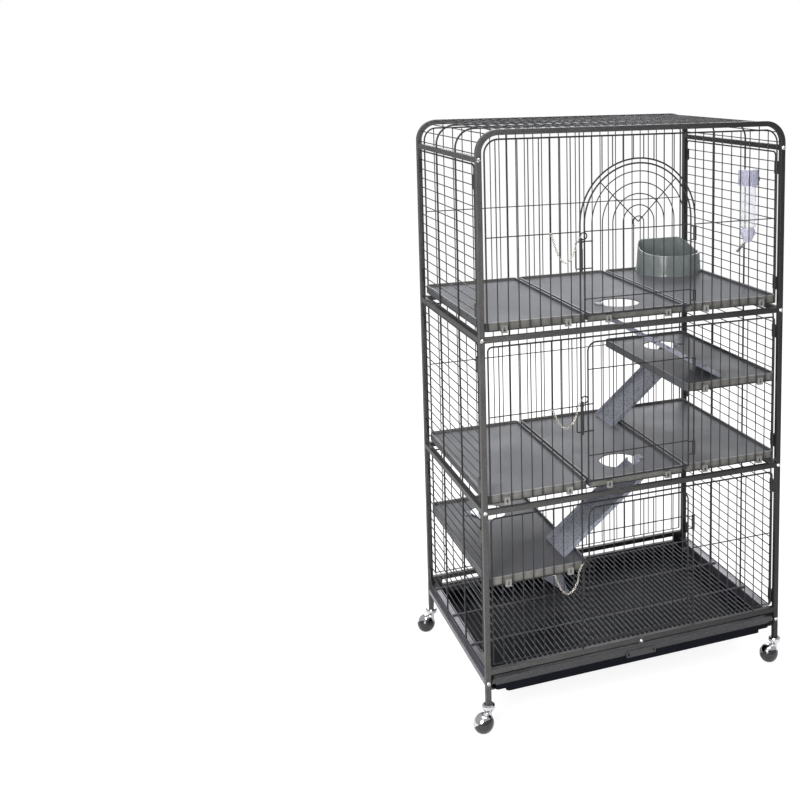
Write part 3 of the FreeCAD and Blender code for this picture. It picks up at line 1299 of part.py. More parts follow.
def make_front_bar():
    body = new_body("FrontBar")
    face = sketch_on(body, "XZ_Plane", s.bar_face)
    shoulder = s.bar_top - s.bar_chamfer
    polygon(face, [
        (-s.bar_half, s.bar_low), (s.bar_half, s.bar_low), (s.bar_half, shoulder),
        (s.bar_half - s.bar_chamfer, s.bar_top), (s.bar_chamfer - s.bar_half, s.bar_top),
        (-s.bar_half, shoulder),
    ])
    pad(body, face, s.bar_deep, reverse=True)
    web = sketch_on(body, "XZ_Plane", s.bar_face - s.bar_recess)
    polygon(web, [
        (-s.pan_half, s.pan_top), (s.pan_half, s.pan_top), (s.pan_half, shoulder), (-s.pan_half, shoulder),
    ])
    pad(body, web, s.bar_web, reverse=True)
    flange = sketch_on(body, "XZ_Plane", s.bar_face - s.bar_recess)
    polygon(flange, [
        (-s.pan_half, s.pan_top), (s.pan_half, s.pan_top),
        (s.pan_half, s.pan_top + s.bar_flange), (-s.pan_half, s.pan_top + s.bar_flange),
    ])
    pad(body, flange, s.bar_reach, reverse=True)
    handle = sketch_on(body, "XZ_Plane", s.bar_face)
    wide = s.handle_left + s.handle_right
    tall = s.handle_high - s.handle_low
    middle_x = (s.handle_right - s.handle_left) / 2
    middle_z = (s.handle_high + s.handle_low) / 2
    rounded_rectangle(handle, wide, tall, s.handle_slot / 2, middle_x, middle_z)
    pad(body, handle, s.handle_thick)
    slots = sketch_on(body, "XZ_Plane", s.bar_face + s.handle_thick)
    for side in (-1, 1):
        slot_x = middle_x + (wide / 2 - s.handle_slot * 3 / 2) * side
        rounded_rectangle(slots, s.handle_slot, tall - s.handle_slot * 2, s.handle_slot / 3, slot_x, middle_z)
    pocket(body, slots, s.handle_thick)
    return node(body, "litter_tray_front")


def make_turn_button():
    body = new_body("TurnButton")
    face = sketch_on(body, "XZ_Plane", s.post_y + s.tube / 2)
    polygon(face, [
        (-s.turn_half, -s.turn_down), (s.turn_half, -s.turn_down),
        (s.turn_top, s.turn_up), (-s.turn_top, s.turn_up),
    ])
    pad(body, face, s.turn_thick)
    hole = sketch_on(body, "XZ_Plane", s.post_y + s.tube / 2)
    circle_at(hole, s.turn_screw / 2 + s.fit_gap)
    pocket(body, hole, s.turn_thick * 2, reverse=True)
    place(body, s.turn_x, zero, s.turn_z)
    return node(body, "tray_latch")


make_litter_tray()
make_front_bar()
make_turn_button()


# Casters: a tilted hemisphere wheel under a hood that swivels on its stem

tilt_sin = Size(math.sin(math.radians(n.tilt)), "sin(Sizes.tilt * 1 deg)")
tilt_cos = Size(math.cos(math.radians(n.tilt)), "cos(Sizes.tilt * 1 deg)")
TILTED = (V(1, 0, 0), n.tilt)


def along_axle(distance):
    """Point on the wheel's axle line, measured up from the ball centre."""
    return s.trail, -(tilt_sin * distance), s.ball + tilt_cos * distance


def ball_part(name, radius, low_angle, high_angle):
    part = doc.addObject("Part::Sphere", name)
    part.Angle1 = low_angle
    part.Angle2 = high_angle
    bind(part, Radius=radius)
    return place(part, *along_axle(zero), *TILTED)


def make_caster(where, x, y, swivel):
    hollow = ball_part("HoodHollow", s.ball - s.ball_wall, -90, 90)
    dome = cut("HoodShell", ball_part("HoodBall", s.ball, 0, 90), hollow)
    axle_long = s.axle_down + s.ball - s.ball_wall / 2
    axle = cylinder("Axle", s.axle / 2, axle_long, *along_axle(-s.axle_down), *TILTED)
    neck = cylinder("Neck", s.neck, s.cup_low - s.neck_low, zero, zero, s.neck_low)
    funnel = cone("CupFunnel", s.cup_small, s.cup_big, s.cup_mid - s.cup_low, zero, zero, s.cup_low)
    band = cylinder("CupBand", s.cup_big, s.cup_rim - s.cup_mid, zero, zero, s.cup_mid)
    crown = cone("CupCrown", s.cup_big, s.cup_crown, s.foot_z - s.cup_rim, zero, zero, s.cup_rim)
    stem = cylinder("Stem", s.stem / 2, s.stem_up, zero, zero, s.foot_z)
    hood = join("Hood", [dome, axle, neck, funnel, band, crown, stem])
    place(hood, x, y, zero, V(0, 0, 1), swivel)
    node(hood, f"caster_hood_{where}")
    slab = cylinder("WheelTop", s.ball + s.ball_wall, s.ball, *along_axle(-s.ball_split), *TILTED)
    bore_deep = s.axle_down + s.bore_extra
    hole = cylinder("WheelBore", s.axle / 2 + s.fit_gap, bore_deep, *along_axle(-bore_deep), *TILTED)
    wheel = cut("WheelBored", cut("WheelBlank", ball_part("WheelBall", s.ball, -90, 0), slab), hole)
    place(wheel, x, y, zero, V(0, 0, 1), swivel)
    node(wheel, f"caster_wheel_{where}")


make_caster("front_left", -s.post_x, -s.post_y, 180 + n.swivel_even)
make_caster("front_right", s.post_x, -s.post_y, n.swivel_front_right)
make_caster("back_left", -s.post_x, s.post_y, 180 - n.swivel_even)
make_caster("back_right", s.post_x, s.post_y, n.swivel_even)


# Corner bowl

def bowl_form(name, radius, lean, inset, low, high):
    """Round form that narrows upwards, flat towards the right wall and the back of the cage."""
    taper = cone(f"{name}Round", radius, radius - lean, high - low, zero, zero, low)
    square = new_body(f"{name}Square")
    outline = sketch_on(square, "XY_Plane", low)
    reach = s.bowl_r * 2
    right, back = s.bowl_right - inset, s.bowl_back - inset
    middle_x, middle_y = (right - reach) / 2, (back - reach) / 2
    rounded_rectangle(outline, reach + right, reach + back, s.bowl_corner - inset, middle_x, middle_y)
    pad(square, outline, high - low)
    form = doc.addObject("Part::Common", name)
    form.Base = taper
    form.Tool = square
    return form


def make_bowl():
    """Corner bowl whose rim sweeps up towards the back."""
    wall = bowl_form("BowlWall", s.bowl_r, s.bowl_lean, zero, zero, s.bowl_blank)
    foot = bowl_form("BowlFoot", s.bowl_r + s.bowl_band, s.bowl_band / 2, zero, zero, s.bowl_foot)
    well_top = s.bowl_blank + s.bowl_floor
    well = bowl_form("BowlWell", s.bowl_r - s.bowl_wall, s.bowl_lean, s.bowl_wall, s.bowl_floor, well_top)
    sweep_z = s.bowl_tall + s.bowl_sweep
    reach = s.bowl_r * 2
    sweep = cylinder("BowlSweep", s.bowl_sweep, reach * 2, -reach, -s.bowl_lowest, sweep_z, *ALONG_X)
    bowl = cut("Bowl", cut("BowlOpen", join("BowlOuter", [wall, foot]), well), sweep)
    place(bowl, s.bowl_x, s.bowl_y, floor3)
    return node(bowl, "feeding_bowl")


make_bowl()


# Water bottle, hung on a wire of the right wall

def turned(name, corners):
    """Solid of revolution about the body's Z axis."""
    body = new_body(name)
    profile = sketch_on(body, "XZ_Plane")
    polygon(profile, corners)
    turn = body.newObject("PartDesign::Revolution", "Turned")
    turn.Profile = profile
    turn.ReferenceAxis = (profile, ["V_Axis"])
    turn.Angle = 360
    return body


def make_bottle():
    inner, neck_in = s.bottle_r - s.bottle_wall, s.bottle_neck_r - s.bottle_wall
    shoulder = s.bottle_low + s.bottle_r - s.bottle_neck_r
    bottle = turned("BottleBody", [
        (s.bottle_neck_r, s.bottle_neck_z), (s.bottle_neck_r, s.bottle_low), (s.bottle_r, shoulder),
        (s.bottle_r, s.bottle_top), (zero, s.bottle_top), (zero, s.bottle_top - s.bottle_wall),
        (inner, s.bottle_top - s.bottle_wall), (inner, shoulder + s.bottle_wall / 2),
        (neck_in, s.bottle_low + s.bottle_wall / 2), (neck_in, s.bottle_neck_z),
    ])
    node(place(bottle, s.bottle_x, -s.bottle_y, zero), "bottle")
    grip = s.bottle_r + s.fit_gap
    cap = turned("CapBody", [
        (grip, s.cap_low), (s.cap_r, s.cap_low), (s.cap_r, s.cap_top - s.bottle_wall),
        (s.cap_r - s.bottle_wall, s.cap_top),
        (zero, s.cap_top), (zero, s.bottle_top), (grip, s.bottle_top),
    ])
    wall_wire_x = s.post_x - (s.wire / 2 + s.hoop_wire / 2 - s.weld) - s.bottle_x
    wire_z = s.roof_z - s.side_margin - s.side_pitch * 3
    near_face = wall_wire_x - s.wire / 2 - s.hook_gap
    behind = wall_wire_x + s.wire / 2 + s.hook_gap
    rest = wire_z + s.wire / 2 + s.fit_gap
    half_wide = s.hook_wide / 2
    root = grip + s.bottle_wall
    crest = rest + s.hook_thick
    tip = behind + s.hook_thick
    arm = box("HookArm", (root, -half_wide, s.cap_low), (near_face, half_wide, crest))
    top = box("HookTop", (root, -half_wide, rest), (tip, half_wide, crest))
    tail = box("HookTail", (behind, -half_wide, rest - s.hook_down), (tip, half_wide, crest))
    cap_join = join("CapJoin", [cap, arm, top, tail])
    node(place(cap_join, s.bottle_x, -s.bottle_y, zero), "bottle_cap")
    hold = s.bottle_neck_r + s.fit_gap
    nut_top = s.bottle_low - s.bottle_wall / 2
    nut = turned("SpoutNut", [
        (zero, s.nut_low), (s.nut_small, s.nut_low), (s.nut_r, s.bottle_neck_z), (s.nut_r, nut_top),
        (hold, nut_top), (hold, s.bottle_neck_z), (zero, s.bottle_neck_z),
    ])
    start = (zero, zero, s.nut_low + s.spout_r * 2)
    slope = (V(0, 1, 0), 180 + n.spout_turn)
    tube = cylinder("SpoutTube", s.spout_r, s.spout_long, *start, *slope)
    hollow = cylinder("SpoutBore", s.spout_r / 2, s.spout_long * 2, *start, *slope)
    spout = cut("Spout", join("SpoutJoin", [nut, tube]), hollow)
    node(place(spout, s.bottle_x, -s.bottle_y, zero), "bottle_spout")


make_bottle()


# Checks and export

doc.recompute()
for thing in doc.Objects:
    if any(state in ("Invalid", "Error") for state in thing.State):
        raise RuntimeError(f"{thing.Label} failed: {thing.State}")
os.makedirs("parts", exist_ok=True)
for thing in NODES:
    shape = thing.Shape
    if shape.isNull() or not shape.isValid() or not shape.Solids:
        raise RuntimeError(f"{thing.Label} has no valid shape")
    shape.exportStep(f"parts/{thing.Label}.step")
    bounds = shape.BoundBox
    print(f"{thing.Label:24s} {len(shape.Solids):3d} solids  volume {shape.Volume:12.1f}  "
          f"x {bounds.XMin:8.2f} {bounds.XMax:8.2f}  y {bounds.YMin:8.2f} {bounds.YMax:8.2f}  "
          f"z {bounds.ZMin:8.2f} {bounds.ZMax:8.2f}")
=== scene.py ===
"""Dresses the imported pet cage: coatings, plastics, chrome, small fittings, camera and light.

Lengths are metres, heights are Z in the frame that the cage stands in."""

import math

import bpy
from mathutils import Matrix, Vector


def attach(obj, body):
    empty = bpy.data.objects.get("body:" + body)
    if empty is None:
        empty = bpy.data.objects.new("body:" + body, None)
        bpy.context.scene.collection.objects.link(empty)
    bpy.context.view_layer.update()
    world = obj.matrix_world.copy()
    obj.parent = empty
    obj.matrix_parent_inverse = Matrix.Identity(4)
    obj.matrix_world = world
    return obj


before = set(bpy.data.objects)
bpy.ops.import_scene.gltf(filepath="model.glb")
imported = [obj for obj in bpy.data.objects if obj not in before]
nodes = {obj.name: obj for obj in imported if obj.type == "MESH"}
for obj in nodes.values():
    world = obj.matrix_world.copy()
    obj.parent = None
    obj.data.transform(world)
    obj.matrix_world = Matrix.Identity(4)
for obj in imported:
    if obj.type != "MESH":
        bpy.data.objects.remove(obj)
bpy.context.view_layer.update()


# Shader helpers

def even(first, second):
    """The colour midway between two colours."""
    return tuple(0.5 * (a + b) for a, b in zip(first, second))


def scaled(colour, factor):
    """A colour made lighter or darker, never above white."""
    return tuple(min(1.0, factor * c) for c in colour)


class Finish:
    """One material, with short calls for the shader nodes that it is made of."""

    def __init__(self, name):
        self.material = bpy.data.materials.new(name)
        self.material.use_nodes = True
        self.tree = self.material.node_tree
        self.shader = self.tree.nodes["Principled BSDF"]
        self.spot = self.tree.nodes.new("ShaderNodeTexCoord").outputs["Object"]

    def add(self, kind, **inputs):
        made = self.tree.nodes.new(kind)
        for key, value in inputs.items():
            socket = made.inputs[key.replace("_", " ")]
            self.feed(socket, value)
        return made

    def feed(self, socket, value):
        if isinstance(value, bpy.types.NodeSocket):
            self.tree.links.new(value, socket)
        else:
            socket.default_value = value

    def noise(self, scale, detail=3.0, rough=0.55, spot=None):
        made = self.add("ShaderNodeTexNoise", Scale=scale, Detail=detail, Roughness=rough)
        self.tree.links.new(spot or self.spot, made.inputs["Vector"])
        return made.outputs["Fac"]

    def cells(self, scale, feature="F1", spread=1.0, spot=None):
        made = self.add("ShaderNodeTexVoronoi", Scale=scale, Randomness=spread)
        made.feature = feature
        self.tree.links.new(spot or self.spot, made.inputs["Vector"])
        return made.outputs["Distance"]

    def stretch(self, x, y, z):
        made = self.tree.nodes.new("ShaderNodeMapping")
        self.tree.links.new(self.spot, made.inputs["Vector"])
        made.inputs["Scale"].default_value = (x, y, z)
        return made.outputs["Vector"]

    def remap(self, value, low, high, out_low=0.0, out_high=1.0):
        made = self.add("ShaderNodeMapRange", Value=value)
        ends = {"From Min": low, "From Max": high, "To Min": out_low, "To Max": out_high}
        for key, number in ends.items():
            made.inputs[key].default_value = number
        return made.outputs["Result"]

    def blend(self, share, first, second):
        made = self.tree.nodes.new("ShaderNodeMix")
        made.data_type = "RGBA"
        self.feed(made.inputs["Factor"], share)
        for socket, colour in ((made.inputs[6], first), (made.inputs[7], second)):
            self.feed(socket, colour if isinstance(colour, bpy.types.NodeSocket) else (*colour, 1.0))
        return made.outputs[2]

    def math(self, operation, first, second=0.0):
        made = self.tree.nodes.new("ShaderNodeMath")
        made.operation = operation
        self.feed(made.inputs[0], first)
        self.feed(made.inputs[1], second)
        return made.outputs[0]

    def height(self, value, depth, strength=0.6, under=None):
        made = self.add("ShaderNodeBump", Height=value, Distance=depth, Strength=strength)
        if under is not None:
            self.tree.links.new(under, made.inputs["Normal"])
        return made.outputs["Normal"]

    def facing(self, axis):
        normal = self.tree.nodes.new("ShaderNodeNewGeometry").outputs["Normal"]
        return self.add("ShaderNodeSeparateXYZ", Vector=normal).outputs[axis]

    def near(self, value, target, half):
        made = self.tree.nodes.new("ShaderNodeMath")
        made.operation = "COMPARE"
        for socket, number in zip(made.inputs, (value, target, half)):
            self.feed(socket, number)
        return made.outputs[0]

    def part_of_spot(self, axis):
        return self.add("ShaderNodeSeparateXYZ", Vector=self.spot).outputs[axis]

    def set(self, **sockets):
        for key, value in sockets.items():
            socket = self.shader.inputs[key.replace("_", " ")]
            if isinstance(value, tuple) and len(value) == 3 and key != "Normal":
                value = (*value, 1.0)
            self.feed(socket, value)
        return self


# Painted shade: the dark coat that the right end of the frame fades to, where less light falls, and the X
# reach of that fade
PAINTED_SHADE_TONE = (0.006, 0.0055, 0.007)
PAINTED_SHADE_REACH = 0.36


def hammered_coat(name, dark, light, metal, cell=520.0, rough=(0.34, 0.52), depth=0.00035, shade=1.0):
    """Baked coating with the fine dimples and paler flecks of hammered paint.

    shade below 1 paints shade onto the coat towards its right end, where less light falls: it is the share of
    the coat that is left there."""
    f = Finish(name)
    dimples = f.cells(cell)
    flecks = f.noise(cell * 1.7, 2.0)
    broad = f.noise(14.0, 4.0)
    mottle = f.math("MULTIPLY", f.remap(flecks, 0.35, 0.68), f.remap(dimples, 0.0, 0.65, 1.0, 0.35))
    tint = f.blend(mottle, dark, light)
    worn = f.remap(broad, 0.38, 0.72, 0.0, 0.35)
    tint = f.blend(worn, tint, even(dark, light))
    # Painted shade: the coat darkens towards the right end of the frame
    if shade < 1.0:
        shade_share = f.remap(f.part_of_spot("X"), -PAINTED_SHADE_REACH, PAINTED_SHADE_REACH, 1.0, shade)
        tint = f.blend(shade_share, PAINTED_SHADE_TONE, tint)
    grain = f.height(dimples, depth, 0.55)
    normal = f.height(f.noise(190.0, 3.0), depth * 0.7, 0.35, under=grain)
    roughness = f.remap(broad, 0.3, 0.7, *rough)
    return f.set(Base_Color=tint, Roughness=roughness, Normal=normal, Metallic=metal)


def moulded(name, base, rim, rough, cell=900.0, depth=0.00012):
    """Moulded plastic with a fine spark grain and slight clouding."""
    f = Finish(name)
    cloud = f.noise(9.0, 4.0)
    grain = f.noise(cell, 2.0)
    tint = f.blend(f.remap(cloud, 0.3, 0.7), base, rim)
    tint = f.blend(f.remap(grain, 0.52, 0.78, 0.0, 0.5), tint, scaled(base, 1.35))
    normal = f.height(grain, depth, 0.5)
    normal = f.height(f.cells(cell * 0.45), depth * 0.8, 0.35, under=normal)
    return f.set(Base_Color=tint, Roughness=f.remap(cloud, 0.3, 0.7, *rough), Normal=normal)


def polished(name, tone, rough, scratch=0.0):
    """Bright metal with faint waviness and, where scratch is given, fine handling marks."""
    f = Finish(name)
    haze = f.noise(60.0, 4.0)
    tint = f.blend(f.remap(haze, 0.35, 0.7), tone, scaled(tone, 0.86))
    normal = f.height(f.noise(120.0, 2.0), 0.0002, 0.12)
    if scratch:
        marks = f.noise(900.0, 2.0, spot=f.stretch(1.0, 1.0, 0.15))
        normal = f.height(marks, scratch, 0.3, under=normal)
    roughness = f.remap(haze, 0.3, 0.7, *rough)
    return f.set(Base_Color=tint, Roughness=roughness, Normal=normal, Metallic=1.0)


# Finishes

FINE_COAT = {"cell": 800.0, "depth": 0.0002}

# The tube coat carries painted shade towards the right end of the frame
tube_coat = hammered_coat("tube_coat", (0.022, 0.021, 0.022), (0.205, 0.20, 0.195), 0.25, shade=0.25)
wire_coat = hammered_coat("wire_coat", (0.010, 0.010, 0.012), (0.045, 0.045, 0.05), 0.15, **FINE_COAT)
grid_coat = hammered_coat("grid_coat", (0.10, 0.103, 0.118), (0.29, 0.296, 0.325), 0.2, **FINE_COAT)
dark_coat = hammered_coat(
    "dark_coat", (0.010, 0.010, 0.012), (0.04, 0.04, 0.045), 0.2, cell=900.0, depth=0.0001)
bar_coat = hammered_coat("bar_coat", (0.020, 0.020, 0.023), (0.15, 0.15, 0.156), 0.3)
sheet_coat = hammered_coat(
    "sheet_coat", (0.10, 0.098, 0.115), (0.27, 0.265, 0.30), 0.3, rough=(0.2, 0.3), depth=0.0001)
clip_plastic = moulded("clip_plastic", (0.17, 0.17, 0.165), (0.25, 0.25, 0.24), (0.25, 0.35))
litter_plastic = moulded("litter_plastic", (0.003, 0.0035, 0.006), (0.007, 0.008, 0.013), (0.4, 0.55))
litter_plastic.set(Specular_IOR_Level=0.06)
nub_plastic = moulded("nub_plastic", (0.030, 0.032, 0.048), (0.06, 0.063, 0.085), (0.4, 0.5))
chrome = polished("chrome", (0.83, 0.83, 0.85), (0.05, 0.12))
zinc = polished("zinc", (0.72, 0.71, 0.69), (0.18, 0.3), scratch=0.0001)
chain_steel = polished("chain_steel", (0.66, 0.63, 0.58), (0.16, 0.28), scratch=0.0001)

# Top faces of the rims, along which a pale painted highlight runs: upper level, second level, middle shelf,
# lower shelf
RIM_HEIGHTS = (0.969, 0.567, 0.770, 0.3685)
# Half height of the band that the painted highlight covers
RIM_HIGHLIGHT_REACH = 0.0004
# Heights between which the trays turn darker, by painted shade on the higher trays, and duller
TRAYS_LOW, TRAYS_HIGH = 0.6, 0.95
PAINTED_TRAY_SHADE = (0.022, 0.022, 0.026)


def tray_finish():
    """Slate plastic: clouded floor with faint streaks, a pale painted highlight along the rim tops, front
    walls painted lighter and warmer for the light that they catch, and painted shade on the higher trays.
    """
    f = Finish("tray_plastic")
    cloud = f.noise(7.0, 4.0)
    grain = f.noise(900.0, 2.0)
    streaks = f.noise(55.0, 3.0, spot=f.stretch(1.0, 0.12, 1.0))
    tint = f.blend(f.remap(cloud, 0.3, 0.7), (0.088, 0.090, 0.101), (0.122, 0.125, 0.138))
    tint = f.blend(f.remap(streaks, 0.45, 0.75, 0.0, 0.3), tint, (0.135, 0.137, 0.148))
    tint = f.blend(f.remap(grain, 0.5, 0.78, 0.0, 0.5), tint, (0.16, 0.163, 0.175))
    # Painted light: walls that face the front are painted lighter and warmer, for the light that they catch
    front = f.remap(f.facing("Y"), -0.9, -0.4, 1.0, 0.0)
    lit_front_wall = f.blend(f.remap(streaks, 0.4, 0.7), (0.135, 0.133, 0.124), (0.18, 0.176, 0.165))
    tint = f.blend(front, tint, lit_front_wall)
    level = f.part_of_spot("Z")
    # Painted shade: the higher trays are darkened
    tint = f.blend(f.remap(level, TRAYS_LOW, TRAYS_HIGH, 0.0, 0.12), tint, PAINTED_TRAY_SHADE)
    # Painted highlight: a pale line along the top faces of the rims
    rim = f.near(level, RIM_HEIGHTS[0], RIM_HIGHLIGHT_REACH)
    for height in RIM_HEIGHTS[1:]:
        rim = f.math("MAXIMUM", rim, f.near(level, height, RIM_HIGHLIGHT_REACH))
    tint = f.blend(rim, tint, (0.30, 0.302, 0.306))
    normal = f.height(grain, 0.00012, 0.5)
    normal = f.height(f.cells(400.0), 0.0001, 0.35, under=normal)
    shine = f.remap(level, TRAYS_LOW, TRAYS_HIGH, 0.36, 0.1)
    roughness = f.remap(cloud, 0.3, 0.7, 0.42, 0.55)
    return f.set(Base_Color=tint, Roughness=roughness, Normal=normal, Specular_IOR_Level=shine)


# Lower face of the spout's nut, and the height over which the tube gives way to it
NUT_LOW = 1.0893
NUT_FADE = 0.0004


def spout_finish():
    """Steel tube below a lavender plastic nut."""
    f = Finish("spout_steel")
    haze = f.noise(60.0, 4.0)
    metal = f.remap(f.part_of_spot("Z"), NUT_LOW, NUT_LOW + NUT_FADE, 1.0, 0.0)
    tint = f.blend(f.remap(haze, 0.3, 0.7), (0.60, 0.60, 0.74), (0.70, 0.70, 0.83))
    tint = f.blend(metal, tint, (0.42, 0.42, 0.41))
    normal = f.height(f.noise(120.0, 2.0), 0.0002, 0.2)
    roughness = f.remap(haze, 0.3, 0.7, 0.14, 0.24)
    return f.set(Base_Color=tint, Roughness=roughness, Normal=normal, Metallic=metal)


def ramp_finish():
    """Blue-grey plastic with dark pitted specks."""
    f = Finish("ramp_plastic")
    cloud = f.noise(20.0, 4.0)
    warp = f.noise(160.0, 2.0)
    specks = f.cells(210.0)
    pits = f.remap(f.math("ADD", specks, f.remap(warp, 0.3, 0.7, -0.22, 0.22)), 0.14, 0.30)
    base = f.blend(f.remap(cloud, 0.3, 0.7), (0.27, 0.285, 0.345), (0.36, 0.378, 0.44))
    fine = f.noise(700.0, 2.0)
    base = f.blend(f.remap(fine, 0.5, 0.72, 0.0, 0.6), base, (0.50, 0.52, 0.60))
    tint = f.blend(pits, (0.02, 0.022, 0.035), base)
    normal = f.height(pits, 0.0006, 0.7)
    normal = f.height(fine, 0.0002, 0.5, under=normal)
    return f.set(Base_Color=tint, Roughness=0.55, Normal=normal)


# Height up to which the tyres are dusty
DUST_HIGH = 0.012


def wheel_finish():
    """Hard dark tyre, glossy, scuffed and dusty near the floor."""
    f = Finish("wheel_plastic")
    scuff = f.noise(260.0, 4.0)
    low = f.remap(f.part_of_spot("Z"), 0.0, DUST_HIGH, 1.0, 0.0)
    dust = f.math("MULTIPLY", f.remap(scuff, 0.45, 0.7), low)
    tint = f.blend(dust, (0.022, 0.022, 0.025), (0.12, 0.115, 0.105))
    rough = f.remap(dust, 0.0, 1.0, 0.16, 0.6)
    normal = f.height(scuff, 0.0002, 0.2)
    return f.set(Base_Color=tint, Roughness=rough, Normal=normal, Coat_Weight=0.4)


def bowl_finish():
    """Glossy grey-green moulded plastic."""
    f = Finish("bowl_plastic")
    cloud = f.noise(18.0, 3.0)
    ripple = f.noise(42.0, 2.0, spot=f.stretch(1.0, 1.0, 0.12))
    tint = f.blend(f.remap(cloud, 0.3, 0.7), (0.165, 0.19, 0.188), (0.22, 0.245, 0.243))
    rough = f.remap(cloud, 0.3, 0.7, 0.2, 0.3)
    normal = f.height(ripple, 0.0008, 0.25)
    return f.set(Base_Color=tint, Roughness=rough, Normal=normal, Coat_Weight=0.15)


def bottle_finish(name, tint, clear, rough):
    """Clouded blue-white plastic that lets some light through."""
    f = Finish(name)
    cloud = f.noise(30.0, 3.0)
    flow = f.noise(90.0, 2.0, spot=f.stretch(1.0, 1.0, 0.1))
    colour = f.blend(f.remap(cloud, 0.3, 0.7), tint, scaled(tint, 1.12))
    roughness = f.remap(cloud, 0.3, 0.7, rough, rough * 1.6)
    normal = f.height(flow, 0.0005, 0.2)
    return f.set(Base_Color=colour, Roughness=roughness, Normal=normal, Transmission_Weight=clear, IOR=1.2)


ramp_plastic = ramp_finish()
wheel_plastic = wheel_finish()
bowl_plastic = bowl_finish()
bottle_plastic = bottle_finish("bottle_plastic", (0.93, 0.93, 0.98), 0.92, 0.12)
cap_plastic = bottle_finish("cap_plastic", (0.66, 0.66, 0.80), 0.45, 0.2)
tray_plastic = tray_finish()
spout_steel = spout_finish()

NODE_FINISH = {
    "frame_bolts": zinc,
    "safety_chains": chain_steel,
    "tray_clips": clip_plastic,
    "floor_grid": grid_coat,
    "base_side_plates": sheet_coat,
    "litter_tray": litter_plastic,
    "litter_tray_front": bar_coat,
    "tray_latch": bar_coat,
    "feeding_bowl": bowl_plastic,
    "bottle": bottle_plastic,
    "bottle_cap": cap_plastic,
    "bottle_spout": spout_steel,
    "panel_brackets": dark_coat,
}
STEM_FINISH = (
    ("latch_", dark_coat),
    ("door_", wire_coat),
    ("tray_level", tray_plastic),
    ("shelf_", tray_plastic),
    ("ramp_", ramp_plastic),
    ("caster_hood", chrome),
    ("caster_wheel", wheel_plastic),
    ("roof_panel", wire_coat),
)


def finish_of(name):
    """The finish of a CAD node: by its own name, by how that starts, or the coat of mesh or tube."""
    if name in NODE_FINISH:
        return NODE_FINISH[name]
    for stem, finish in STEM_FINISH:
        if name.startswith(stem):
            return finish
    return wire_coat if "_panel_" in name else tube_coat


for name, node in nodes.items():
    for place in node.material_slots:
        place.material = finish_of(name).material


# Details grown along curves and over surfaces

class Grower:
    """A Geometry Nodes tree with named inputs, run once and kept as a mesh."""

    def __init__(self, name, **inputs):
        self.name = name
        self.tree = bpy.data.node_groups.new(name, "GeometryNodeTree")
        face = self.tree.interface
        face.new_socket("Geometry", in_out="INPUT", socket_type="NodeSocketGeometry")
        face.new_socket("Geometry", in_out="OUTPUT", socket_type="NodeSocketGeometry")
        kinds = {float: "NodeSocketFloat", int: "NodeSocketInt"}
        self.values = {}
        for key, value in inputs.items():
            kind = kinds.get(type(value), "NodeSocketObject")
            kind = "NodeSocketMaterial" if isinstance(value, bpy.types.Material) else kind
            made = face.new_socket(key, in_out="INPUT", socket_type=kind)
            self.values[made.identifier] = value
        self.inlet = self.tree.nodes.new("NodeGroupInput").outputs
        self.outlet = self.tree.nodes.new("NodeGroupOutput")

    def add(self, kind, settings=(), **inputs):
        made = self.tree.nodes.new(kind)
        for key, value in dict(settings).items():
            setattr(made, key, value)
        for key, value in inputs.items():
            self.feed(made.inputs[key.replace("_", " ")], value)
        return made.outputs

    def feed(self, socket, value):
        if isinstance(value, bpy.types.NodeSocket):
            self.tree.links.new(value, socket)
        else:
            socket.default_value = value

    def math(self, operation, first, second):
        made = self.tree.nodes.new("ShaderNodeMath")
        made.operation = operation
        self.feed(made.inputs[0], first)
        self.feed(made.inputs[1], second)
        return made.outputs[0]

    def end(self, instances, material):
        whole = self.add("GeometryNodeRealizeInstances", Geometry=instances)["Geometry"]
        smooth = self.add("GeometryNodeSetShadeSmooth", Geometry=whole)["Geometry"]
        dressed = self.add("GeometryNodeSetMaterial", Geometry=smooth, Material=material)["Geometry"]
        self.tree.links.new(dressed, self.outlet.inputs["Geometry"])

    def bake(self, body, points=(), edges=()):
        seed = bpy.data.meshes.new(self.name + "_seed")
        seed.from_pydata(points, edges, [])
        source = bpy.data.objects.new(self.name + "_seed", seed)
        bpy.context.scene.collection.objects.link(source)
        modifier = source.modifiers.new("grow", "NODES")
        modifier.node_group = self.tree
        for identifier, value in self.values.items():
            modifier[identifier] = value
        graph = bpy.context.evaluated_depsgraph_get()
        mesh = bpy.data.meshes.new_from_object(source.evaluated_get(graph))
        bpy.data.objects.remove(source)
        piece = bpy.data.objects.new(self.name, mesh)
        bpy.context.scene.collection.objects.link(piece)
        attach(piece, body)


